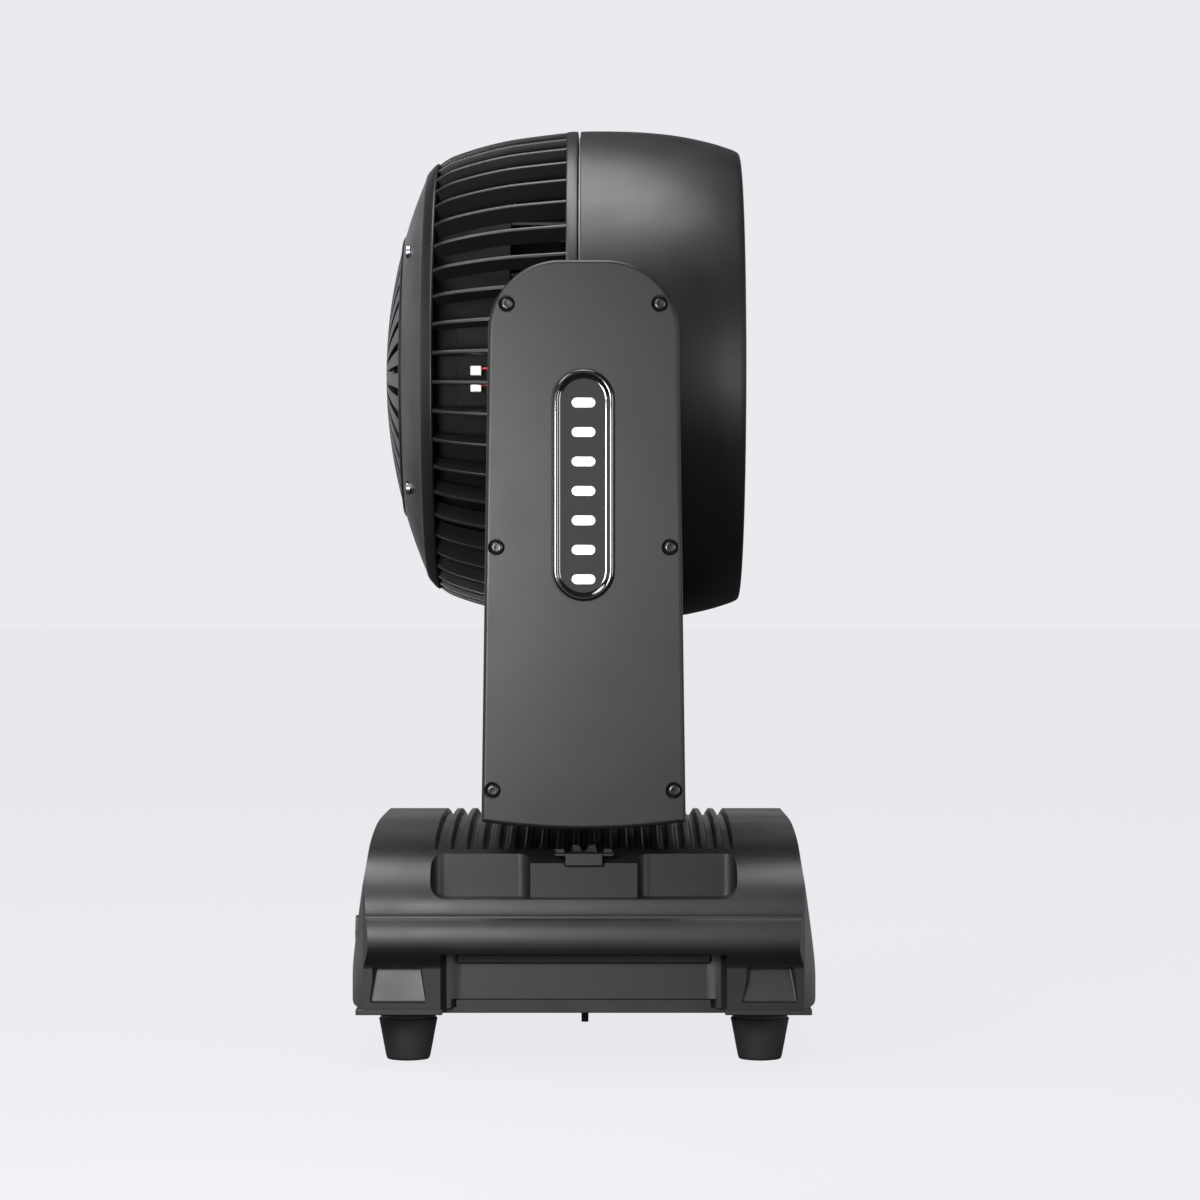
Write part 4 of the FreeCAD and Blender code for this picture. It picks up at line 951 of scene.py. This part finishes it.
    def carve_pod(self, shell: bpy.types.Object, side: int, end: int) -> None:
        """Cuts the scoop in the face of one corner pod: deep at the top, shallow at the bottom.

        Args:
            shell: The cover.
            side: -1 or 1, the long side.
            end: -1 or 1, the end of it.
        """
        pod_x, pod_z = end * self.pod[0], self.pod[1]
        mouth = prism(Plane.XZ, slot_outline(*self.pod_half, 1.6, pod_x, pod_z, 4), side * 160, side * 180)
        deep = [v for v in mouth.verts if abs(v.co.y - side * 160) < 0.01]
        for vert in deep:
            rise = (vert.co.z - pod_z + self.pod_half[1]) / (2 * self.pod_half[1])
            vert.co.y = side * (168.2 - 4.6 * rise)
            vert.co.x -= end * 2.0 + (vert.co.x - pod_x) * 0.22 * rise
        bevel(mouth, [e for e in mouth.edges if all(v in deep for v in e.verts)], 1.2, 3)
        carve(shell, mouth)

    def grooves(self) -> bmesh.types.BMesh:
        """The row of round-bottomed grooves that follow the crown.

        Returns:
            The solids that are cut away.
        """
        centre = Vector((0, 0, self.crown - self.crown_radius))
        bm = bmesh.new()
        right = [(0.0, -4.1), (1.5, -3.6), (2.3, -1.6), (3.3, 0.0), (3.5, 1.5)]
        section = [(-x, depth) for x, depth in reversed(right[1:])] + right
        reach = 142.0 / self.crown_radius
        for count in range(self.groove_count):
            middle = (count - (self.groove_count - 1) / 2) * self.groove_pitch
            verts = [bm.verts.new((middle + x, 0, self.crown + depth)) for x, depth in section]
            face = bm.faces.new(verts)
            bmesh.ops.rotate(bm, cent=centre, matrix=Matrix.Rotation(-reach, 3, "X"), verts=verts)
            grown = bmesh.ops.spin(
                bm, geom=[face], cent=centre, axis=(1, 0, 0), angle=2 * reach, steps=24, use_merge=False
            )
            tip = [v for v in grown["geom_last"] if isinstance(v, bmesh.types.BMVert)]
            for end, way in ((verts, 1), (tip, -1)):
                for vert in end:
                    if vert.co.z < self.crown_top(vert.co.y) - 1.0:
                        vert.co.y += way * 2.2
        tidy_normals(bm)
        return bm

    def crown_top(self, y: float) -> float:
        """Height of the crown at a distance from the middle."""
        return self.crown - y * y / (2 * self.crown_radius)

    def rubber_feet(self) -> None:
        """Four tapered rubber feet with a waisted collar."""
        profile = [(0.0, 0.0), *eased(self.foot_profile, 2), (28.0, 0.0)]
        solids = [turned(profile, Axis.Z, (x, y, 0), 48) for x, y in self.feet]
        settle(gathered(*solids), "rubber_feet", "base", RUBBER, ["feet"], sharp=40)

    def panels(self) -> None:
        """Tray, end panels, display, keys, sockets and the lock."""
        for node, name, finish, slot, edge in (
            ("base_tray", "steel_tray", POWDER, "black_steel", 0.4),
            ("display_panel", "display_plate", POWDER, "black_steel", 0.3),
            ("connector_panel", "connector_plate", POWDER, "black_steel", 0.3),
            ("display_window", "display_pane", SMOKED, "window", 0.3),
            ("dmx_in", "signal_inlet", NYLON_BLACK, "connector", 0.25),
            ("dmx_out", "signal_outlet", NYLON_BLACK, "connector", 0.25),
            ("fuse_holder", "fuse_cap", NYLON_BLACK, "connector", 0.3),
            ("power_inlet", "mains_inlet", INLET, "inlet", 0.3),
        ):
            reworked(node, name, "base", finish, edge)
        reworked("pan_lock", "lock_thumb", "lock_slide", HOUSING, 0.5)
        reworked("dmx_release_tab", "release_lever", "release_tab", ZINC, 0.25)
        for key in ("menu", "up", "down", "enter"):
            self.keypad(key)
        screws = [self.panel_screw(end, y, z) for end in (-1, 1) for y in (-101, 101) for z in (44, 88)]
        settle(gathered(*screws), "panel_screws", "base", OXIDE, sharp=30)

    def keypad(self, key: str) -> None:
        """One silicone key with a raised mark.

        Args:
            key: menu, up, down or enter.
        """
        low, high = (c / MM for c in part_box(f"{key}_button"))
        cap = block((low.x, high.x), (low.y, high.y), (low.z, high.z), 1.3, 4)
        settle(cap, f"{key}_keycap", f"{key}_key", SILICONE, [f"{key}_button"], sharp=40)
        y, z = (low.y + high.y) / 2, (low.z + high.z) / 2
        marks = {
            "menu": [(-3.2, 2.0), (-3.2, -2.0), (3.2, -2.0), (3.2, 2.0)],
            "up": [(-3.0, -2.0), (3.0, -2.0), (0.0, 2.6)],
            "down": [(-3.0, 2.0), (0.0, -2.6), (3.0, 2.0)],
            "enter": [(2.6 * math.cos(k * math.tau / 20), 2.6 * math.sin(k * math.tau / 20)) for k in range(20)],
        }
        mark = prism(Plane.YZ, [(y + a, z + b) for a, b in marks[key]], high.x - 0.2, high.x + 0.15)
        settle(mark, f"{key}_mark", f"{key}_key", SILVER, sharp=30)

    def panel_screw(self, end: int, y: float, z: float) -> bmesh.types.BMesh:
        """The low domed head of one panel screw.

        Args:
            end: -1 for the connector end, 1 for the display end.
            y: Its place across the base.
            z: Its height.

        Returns:
            The head, on the panel's face.
        """
        head = turned([(0.0, 0.0), (0.0, 3.0), (0.5, 2.6), (0.9, 1.4), (1.0, 0.0)], Axis.X, (0, 0, 0), 24)
        bmesh.ops.scale(head, vec=(end, 1, 1), verts=head.verts)
        bmesh.ops.recalc_face_normals(head, faces=head.faces)
        bmesh.ops.translate(head, vec=(end * self.panel_face, y, z), verts=head.verts)
        return head

    def inside(self) -> None:
        """Finishes of the pieces inside the base, which keep their own shape."""
        screen = prism(Plane.YZ, slot_outline(27, 12.5, 1.0, -31, 68), 114.1, 114.7)
        settle(screen, "backlit_screen", "base", SCREEN)
        dress(
            display_board=BOARD,
            power_supply=GROUND,
            control_board=BOARD,
            pan_carrier=GROUND,
            pan_post=CAST,
            pan_wheel=NYLON_WHITE,
        )


# ---------------------------------------------------------------- yoke
@dataclass
class Yoke:
    """The two-armed yoke: casings, badges, screws, bridge cover and drives."""

    foot_half: float = 53.5
    top_half: float = 50.0
    foot: float = 132.0
    top: float = 426.0
    shoulder: float = 38.0
    joint: float = 170.0
    outer_face: float = 196.0
    wall: float = 2.5
    boss: float = 5.6
    counterbore: float = 4.6
    sunk: float = 3.0
    screws: tuple[Point, ...] = ((40, 403), (45.4, 275.5), (47.5, 148.3))
    badge_centre: float = 308.0
    badge_half: Point = (16.0, 60.6)
    badge_gap: float = 0.7
    badge_steps: Outline = field(
        default_factory=lambda: [
            (0.35, 0.45), (0.5, 0.3), (0.6, 0.1), (0.7, -0.1), (0.7, -0.4), (0.8, -0.55), (1.2, -0.2), (3.5, 0.0),
            (4.5, 0.1),
        ]
    )
    pip_count: int = 7
    pip_pitch: float = 15.4

    def build(self) -> None:
        """Builds and dresses the whole yoke."""
        for name, side in (("left", -1), ("right", 1)):
            self.outer_casing(name, side)
            reworked(f"{name}_inner_casing", f"{name}_inner_shell", "yoke", HOUSING, 1.0)
        self.casing_screws()
        self.badges()
        reworked("bridge_cover", "bridge_shell", "yoke", HOUSING, 0.8)
        reworked("yoke_plate", "cast_plate", "yoke", CAST, 0.5)
        dress(
            arm_plates=GROUND,
            pan_bearing=GROUND,
            tilt_bearings=GROUND,
            pan_motor=POWDER,
            tilt_motor=POWDER,
            pan_belt=BELT,
            tilt_belt=BELT,
            pan_pinion=BRASS,
            tilt_pinion=BRASS,
        )

    def side_view(self, inset: float = 0.0) -> Outline:
        """An arm from the side.

        Args:
            inset: How much smaller it is all round.

        Returns:
            The closed outline.
        """
        head, foot = self.top - inset, self.foot + inset
        radius = self.shoulder - inset
        centre = (self.top_half - self.shoulder, self.top - self.shoulder)
        lean = 0.7071 * radius
        corner = arc(
            (self.top_half - inset, centre[1]), (centre[0] + lean, centre[1] + lean), (centre[0], head), 20
        )
        half = [(self.foot_half - inset, foot)] + corner
        bow = arc((-self.foot_half + inset, foot), (0.0, foot - 4.0), (self.foot_half - inset, foot), 20)
        return both_ways(half) + bow[1:-1]

    def outer_casing(self, name: str, side: int) -> None:
        """One outer casing: a shell with a rounded rim, counterbored screw holes and a badge seat.

        Args:
            name: left or right.
            side: -1 or 1, the arm.
        """
        bm = prism(Plane.XZ, self.side_view(), side * self.joint, side * self.outer_face)
        bevel(bm, at_level(bm.edges, 1, side * self.outer_face), 2.2, 5)
        shell = as_object(bm, name)
        room = self.side_view(self.wall)
        carve(shell, prism(Plane.XZ, room, side * (self.joint - 1), side * (self.outer_face - self.wall)))
        for x, z in self.screw_spots():
            low, high = sorted((side * 176.0, side * (self.outer_face - 1)))
            carve(shell, rod(Axis.Y, self.boss, low, high, x, z, 40), Cut.JOINED)
        for x, z in self.screw_spots():
            low, high = sorted((side * (self.outer_face - self.sunk), side * (self.outer_face + 2)))
            carve(shell, rod(Axis.Y, self.counterbore, low, high, x, z, 40))
        seat_u, seat_v = (half + self.badge_gap for half in self.badge_half)
        seat = slot_outline(seat_u, seat_v, seat_u, 0, self.badge_centre, 16)
        carve(shell, prism(Plane.XZ, seat, side * (self.outer_face - 0.9), side * (self.outer_face + 2)))
        replaced = [f"{name}_outer_casing"]
        settle(shell, f"{name}_outer_shell", "yoke", HOUSING, replaced, edge=0.35, sharp=28)

    def screw_spots(self) -> list[Point]:
        """The six screws of a casing, as (x, z)."""
        return [(way * x, z) for way in (-1, 1) for x, z in self.screws]

    def casing_screws(self) -> None:
        """Button-head screws with hexagon sockets, in their counterbores."""
        solids = [self.button_head(side, x, z) for side in (-1, 1) for x, z in self.screw_spots()]
        settle(gathered(*solids), "button_screws", "yoke", OXIDE, ["casing_screws"], sharp=30)

    def button_head(self, side: int, x: float, z: float) -> bmesh.types.BMesh:
        """One button-head screw: domed head, hexagon socket, and a plain shank behind.

        Args:
            side: -1 or 1, the arm.
            x: Its place along the arm's width.
            z: Its height.

        Returns:
            The screw in its counterbore.
        """
        profile = [
            (-14.0, 0.0), (-14.0, 2.0), (0.0, 2.0), (0.0, 4.0), (0.5, 4.0), (1.3, 3.6), (1.9, 2.9), (2.2, 2.1),
            (2.15, 1.75), (0.7, 1.7), (0.6, 0.0),
        ]
        bm = turned(profile, Axis.Y, (0, 0, 0), 30)
        # The socket's wall is pulled in at six places, which makes it a hexagon.
        for vert in bm.verts:
            reach = math.hypot(vert.co.x, vert.co.z)
            if vert.co.y > 0.55 and 1.6 < reach < 1.85:
                angle = math.atan2(vert.co.z, vert.co.x) % (math.pi / 3) - math.pi / 6
                grow = 0.88 / math.cos(angle)
                vert.co.x, vert.co.z = vert.co.x * grow, vert.co.z * grow
        bmesh.ops.scale(bm, vec=(1, side, 1), verts=bm.verts)
        bmesh.ops.recalc_face_normals(bm, faces=bm.faces)
        bmesh.ops.translate(bm, vec=(x, side * (self.outer_face - self.sunk), z), verts=bm.verts)
        return bm

    def badges(self) -> None:
        """A glossy oval badge on each arm: raised rim, sunk field and a column of silver pips."""
        for name, side in (("left", -1), ("right", 1)):
            outline = slot_outline(*self.badge_half, self.badge_half[0], 0, self.badge_centre, 24)
            bm = prism(Plane.XZ, outline, side * (self.outer_face - 0.8), side * (self.outer_face + 0.2))
            top = at_level(bm.faces, 1, side * (self.outer_face + 0.2))
            for thickness, depth in self.badge_steps:
                bmesh.ops.inset_region(bm, faces=top, thickness=thickness, depth=depth, use_even_offset=True)
            bmesh.ops.recalc_face_normals(bm, faces=bm.faces)
            replaced = ["badges"] if side < 0 else []
            settle(bm, f"{name}_badge", "yoke", BADGE, replaced, sharp=50)
            face = side * (self.outer_face - 0.2)
            pips = []
            for count in range(self.pip_count):
                height = self.badge_centre - 3 + (count - (self.pip_count - 1) / 2) * self.pip_pitch
                bar = prism(Plane.XZ, slot_outline(6.2, 2.6, 2.6, 0, height, 8), face, face + side * 0.55)
                bevel(bar, at_level(bar.edges, 1, face + side * 0.55), 0.25, 2)
                pips.append(bar)
            settle(gathered(*pips), f"{name}_pips", "yoke", SILVER, sharp=40)


# ---------------------------------------------------------------- head
@dataclass
class Head:
    """The drum head: front shell, ribbed cage, domed cap, bezel, lenses and what is inside."""

    height: float = 376.0
    ribs: int = 48
    rib_gauge: float = 2.3
    rib_turn: float = 4.65
    rib_depth: float = 12.0
    shaft_hole: float = 21.0
    wire_radius: float = 0.8
    cap_dome: float = 283.0
    front: Outline = field(
        default_factory=lambda: [
            (-2.4, 136.8), (-2.4, 136.8), (-2.4, 139.4), (-1.6, 139.9), (14, 139.97), (32, 139.5), (52, 137.6),
            (70, 133.9), (82, 130.2), (87.2, 128.0), (88.0, 125.6), (87.8, 124.8), (84.5, 124.7), (84.5, 124.7),
            (80.0, 127.0), (60, 132.6), (32, 136.2), (10, 136.9),
        ]
    )
    crest: tuple[float, ...] = (-9.0, -21.0, -36.7, -46.0, -59.7, -70.6, -77.5)
    crest_rad: tuple[float, ...] = (139.3, 137.9, 135.9, 134.3, 130.9, 127.4, 124.7)

    def build(self) -> None:
        """Builds and dresses the whole head."""
        self.front_shell()
        self.cage()
        self.cap()
        self.lamp_front()
        self.inside()
        self.dress_inside()

    def axis_point(self) -> tuple[float, float, float]:
        """A point on the head's own axis."""
        return (0.0, 0.0, self.height)

    def open_for_shafts(self, shell: bpy.types.Object) -> None:
        """Cuts the two holes that the tilt shafts pass through a shell."""
        carve(shell, rod(Axis.Y, self.shaft_hole, -160, 160, 0, self.height, 64))

    def front_shell(self) -> None:
        """The smooth drum with its rolled rim."""
        shell = as_object(turned(eased(self.front, 2), Axis.X, self.axis_point(), 160), "drum")
        self.open_for_shafts(shell)
        settle(shell, "front_drum", "head", HOUSING, ["front_shell"], sharp=40)

    def rib(self) -> bmesh.types.BMesh:
        """One rib at the top of the cage, a curved blade with a rounded back.

        Returns:
            The closed blade.
        """
        outer = list(zip(self.crest, self.crest_rad)) + [(-84.0, 120.0), (-87.0, 116.5)]
        outer = eased([(-7.0, 139.5)] + outer, 2)
        inner = [(x, r - self.rib_depth) for x, r in reversed(outer) if x > -80]
        foot = [(-88.0, 114.0), (-87.0, 106.5), (-82.0, 108.0)]
        bm = prism(
            Plane.XZ,
            [(x, r + self.height) for x, r in outer + foot + inner],
            -self.rib_gauge / 2,
            self.rib_gauge / 2,
        )
        crest = [
            e
            for e in bm.edges
            if abs(e.verts[0].co.y - e.verts[1].co.y) < 0.01
            and all(v.co.z - self.height > 113.5 and v.co.z - self.height > self.inner_limit(v.co.x) for v in e.verts)
        ]
        bevel(bm, crest, 0.8, 2)
        return bm

    def inner_limit(self, x: float) -> float:
        """A radius between a rib's inner edge and its crest, at a place along the head."""
        return 130.0 + (x + 9) * 0.2

    def cage(self) -> None:
        """The ribbed cage: a front band, forty-eight blades and a rear band."""
        ribs = self.rib()
        start = math.radians(self.rib_turn)
        centre = Vector(self.axis_point())
        bmesh.ops.rotate(ribs, cent=centre, matrix=Matrix.Rotation(start, 3, "X"), verts=ribs.verts)
        bmesh.ops.spin(
            ribs,
            geom=ribs.verts[:] + ribs.edges[:] + ribs.faces[:],
            cent=centre,
            axis=(1, 0, 0),
            angle=math.tau * (self.ribs - 1) / self.ribs,
            steps=self.ribs - 1,
            use_duplicate=True,
        )
        band = turned(
            eased(
                [
                    (-3.4, 130), (-3.4, 130), (-3.4, 139.2), (-4.2, 139.9), (-9.6, 139.6), (-10.2, 138.8),
                    (-10.2, 130), (-10.2, 130),
                ],
                2,
            ),
            Axis.X,
            self.axis_point(),
            160,
        )
        tail = turned(
            eased(
                [
                    (-82.5, 121.0), (-82.5, 121.0), (-83.5, 121.8), (-86.0, 119.6), (-89.4, 115.6), (-90.2, 112.6),
                    (-89.4, 106), (-89.4, 106), (-84.5, 106), (-84.5, 106), (-82.5, 114), (-82.5, 114),
                ],
                2,
            ),
            Axis.X,
            self.axis_point(),
            160,
        )
        cage = as_object(gathered(ribs, band, tail), "cage")
        settle(cage, "ribbed_cage", "head", CAGE, ["rear_cage"], sharp=40)

    def cap(self) -> None:
        """The domed cap with its vents, its screws and the raised ring round the vents."""
        reworked("rear_cap", "vented_cap", "head", CAGE, 0.35)
        dome = self.cap_dome
        back = -90.0 + math.sqrt(dome**2 - 113.0**2)
        radii = (80.4, 80.4, 79.9, 78.6, 77.3, 76.8, 76.8)
        rise = (0.3, 0.3, -0.5, -0.8, -0.5, 0.3, 0.3)
        ring = [(back - math.sqrt(dome**2 - r**2) + d, r) for r, d in zip(radii, rise)]
        settle(turned(ring, Axis.X, self.axis_point(), 144), "cap_ring", "head", CAGE, sharp=60)
        reworked("cap_screws", "cap_fixings", "head", ZINC, 0.25)

    def lamp_front(self) -> None:
        """Bezel, lens array and lens carrier."""
        reworked("front_bezel", "bezel_ring", "head", BADGE, 0.5)
        reworked("lens_array", "lens_moulding", "zoom_carriage", LENS, 0.0)
        reworked("lens_carrier", "lens_frame", "zoom_carriage", ANODISED, 0.4)

    def inside(self) -> None:
        """Board with white plugs and red wires."""
        height = self.height
        board = block((-70, -44), (-106.6, -105), (height - 22, height + 22), 0.2, 1)
        feet = [block((-62, -48), (-105, -101.2), (height + z - 3, height + z + 3), 0.4, 2) for z in (-17, 17)]
        settle(gathered(board, *feet), "driver_board", "head", PBT, ["head_board"], sharp=30)
        plugs = [block((-62, -56), (-113, -106.6), (height + z - 2.6, height + z + 2.6), 0.5, 2) for z in (-12, -3)]
        settle(gathered(*plugs), "wire_plugs", "head", NYLON_WHITE, sharp=30)
        wires = [self.wire(height + z, y) for z, y in ((-2.0, -110.6), (-11.0, -110.6))]
        settle(gathered(*wires), "fan_wires", "head", WIRE_RED, sharp=60)

    def wire(self, z: float, y: float) -> bmesh.types.BMesh:
        """A wire that leaves a plug and dips behind the next rib.

        Args:
            z: Height at the plug.
            y: Its place across the head.

        Returns:
            The closed round wire.
        """
        path = eased([(-57.0, z), (-52.0, z + 0.5), (-47.0, z - 2.5), (-40.0, z - 4.0), (-30.0, z - 4.0)], 2)
        bm = bmesh.new()
        bmesh.ops.create_circle(bm, cap_ends=False, segments=10, radius=self.wire_radius)
        bmesh.ops.rotate(bm, cent=(0, 0, 0), matrix=Matrix.Rotation(math.pi / 2, 3, "Y"), verts=bm.verts)
        bmesh.ops.translate(bm, vec=(path[0][0], y, path[0][1]), verts=bm.verts)
        ring = bm.edges[:]
        for (last_x, last_z), (x, level) in zip(path, path[1:]):
            grown = bmesh.ops.extrude_edge_only(bm, edges=ring)["geom"]
            fresh = [v for v in grown if isinstance(v, bmesh.types.BMVert)]
            bmesh.ops.translate(bm, vec=(x - last_x, 0, level - last_z), verts=fresh)
            ring = at_level([e for e in grown if isinstance(e, bmesh.types.BMEdge)], 0, x)
        bmesh.ops.holes_fill(bm, edges=bm.edges[:], sides=10)
        tidy_normals(bm)
        return bm

    def dress_inside(self) -> None:
        """Finishes of the pieces inside the head that keep their own shape."""
        dress(
            head_frame=CAST,
            tilt_shafts=GROUND,
            tilt_wheel=NYLON_WHITE,
            heat_sink=ANODISED,
            led_board=BOARD_WHITE,
            light_guides=GUIDE,
            zoom_motors=GROUND,
            zoom_guides=ZINC,
            zoom_screw_1=BRASS,
            zoom_screw_2=BRASS,
            fan_frame=PBT,
            fan_rotor=PBT,
        )


# ---------------------------------------------------------------- studio
@dataclass
class Studio:
    """A wide pale floor under a room that is pale at the horizon, soft lamps, and the camera."""

    camera_place: tuple[float, float, float] = (0.0086, -2.2, 0.248)
    focal: float = 115.0
    floor_colour: str = "#ebeaee"
    floor_radius: float = 30.0
    ceiling: float = 0.06

    def build(self) -> None:
        """Builds the studio."""
        self.backdrop()
        self.lamps()
        self.camera()

    def backdrop(self) -> None:
        """A wide round sheet of pale paper, and a room that is pale at the horizon and dim overhead."""
        bm = bmesh.new()
        bmesh.ops.create_circle(bm, cap_ends=True, segments=96, radius=self.floor_radius)
        sheet = as_object(bm, "studio_floor")
        paper = bpy.data.materials.new("studio_paper")
        paper.use_nodes = True
        shader = paper.node_tree.nodes["Principled BSDF"]
        shader.inputs["Base Color"].default_value = srgb("#303032")
        shader.inputs["Roughness"].default_value = 0.9
        shader.inputs["Specular IOR Level"].default_value = 0.0
        shader.inputs["Emission Color"].default_value = srgb(self.floor_colour)
        shader.inputs["Emission Strength"].default_value = 0.97
        sheet.data.materials.append(paper)
        sheet.visible_diffuse = False
        sheet.visible_glossy = False
        world = bpy.data.worlds.new("room")
        world.use_nodes = True
        tree = world.node_tree
        tree.nodes.clear()
        way = add_node(tree, "TexCoord").outputs["Generated"]
        height = add_node(tree, "SeparateXYZ", {"Vector": way}).outputs["Z"]
        rise = add_node(
            tree,
            "MapRange",
            {"Value": height, "From Min": -0.12, "From Max": -0.04, "To Min": self.ceiling, "To Max": 1.0},
        )
        fall = add_node(
            tree,
            "MapRange",
            {
                "Value": height,
                "From Min": 0.19,
                "From Max": 0.4,
                "To Min": rise.outputs["Result"],
                "To Max": self.ceiling,
            },
            interpolation_type="SMOOTHSTEP",
        )
        glow = add_node(
            tree, "Background", {"Color": srgb(self.floor_colour), "Strength": fall.outputs["Result"]}
        )
        add_node(tree, "OutputWorld", {"Surface": glow.outputs["Background"]})
        bpy.context.scene.world = world

    def lamps(self) -> None:
        """Soft boxes: overhead, upper left, one near the front, and a pair low at either side."""
        self.soft_box("overhead", (-0.15, -0.12, 2.1), (1.5, 1.0), 44, (0.0, 0.0, 0.3))
        self.soft_box("upper_left", (-1.3, -1.5, 1.9), (1.0, 1.0), 34, (0.0, 0.0, 0.1))
        self.soft_box("front", (-0.22, -0.8, 0.3), (0.14, 0.16), 4.4, (-0.02, -0.2, 0.28))
        self.soft_box("left", (-0.8, -1.9, 0.3), (0.4, 0.7), 4.5, (0.0, 0.0, 0.2))
        self.soft_box("right", (1.3, -1.5, 0.35), (0.4, 0.7), 7.5, (0.0, 0.0, 0.3))

    def soft_box(
        self, name: str, place: Sequence[float], size: Point, power: float, target: Sequence[float]
    ) -> None:
        """Adds a rectangular lamp.

        Args:
            name: Its name.
            place: Where it hangs, in metres.
            size: Its width and height, in metres.
            power: Its power in watts.
            target: The point that it faces.
        """
        lamp = bpy.data.lights.new(name, "AREA")
        lamp.shape = "RECTANGLE"
        lamp.size, lamp.size_y = size
        lamp.energy = power
        thing = bpy.data.objects.new(name, lamp)
        thing.location = place
        thing.rotation_euler = (Vector(target) - Vector(place)).to_track_quat("-Z", "Y").to_euler()
        thing.visible_camera = False
        bpy.context.scene.collection.objects.link(thing)

    def camera(self) -> None:
        """The camera: level, square to the side of the light, a long way off."""
        lens = bpy.data.cameras.new("camera")
        lens.lens = self.focal
        lens.sensor_width = 36.0
        lens.clip_end = 50.0
        thing = bpy.data.objects.new("camera", lens)
        thing.location = self.camera_place
        thing.rotation_euler = (math.pi / 2, 0.0, 0.0)
        bpy.context.scene.collection.objects.link(thing)
        bpy.context.scene.camera = thing
        bpy.context.scene.view_settings.view_transform = "Standard"


def main() -> None:
    """Builds the studio and the light, in order."""
    logging.basicConfig(level=logging.INFO, format="%(message)s")
    for part in (Studio(), Base(), Yoke(), Head()):
        part.build()
        LOG.info("%s is built", type(part).__name__)


if __name__ == "__main__":
    main()
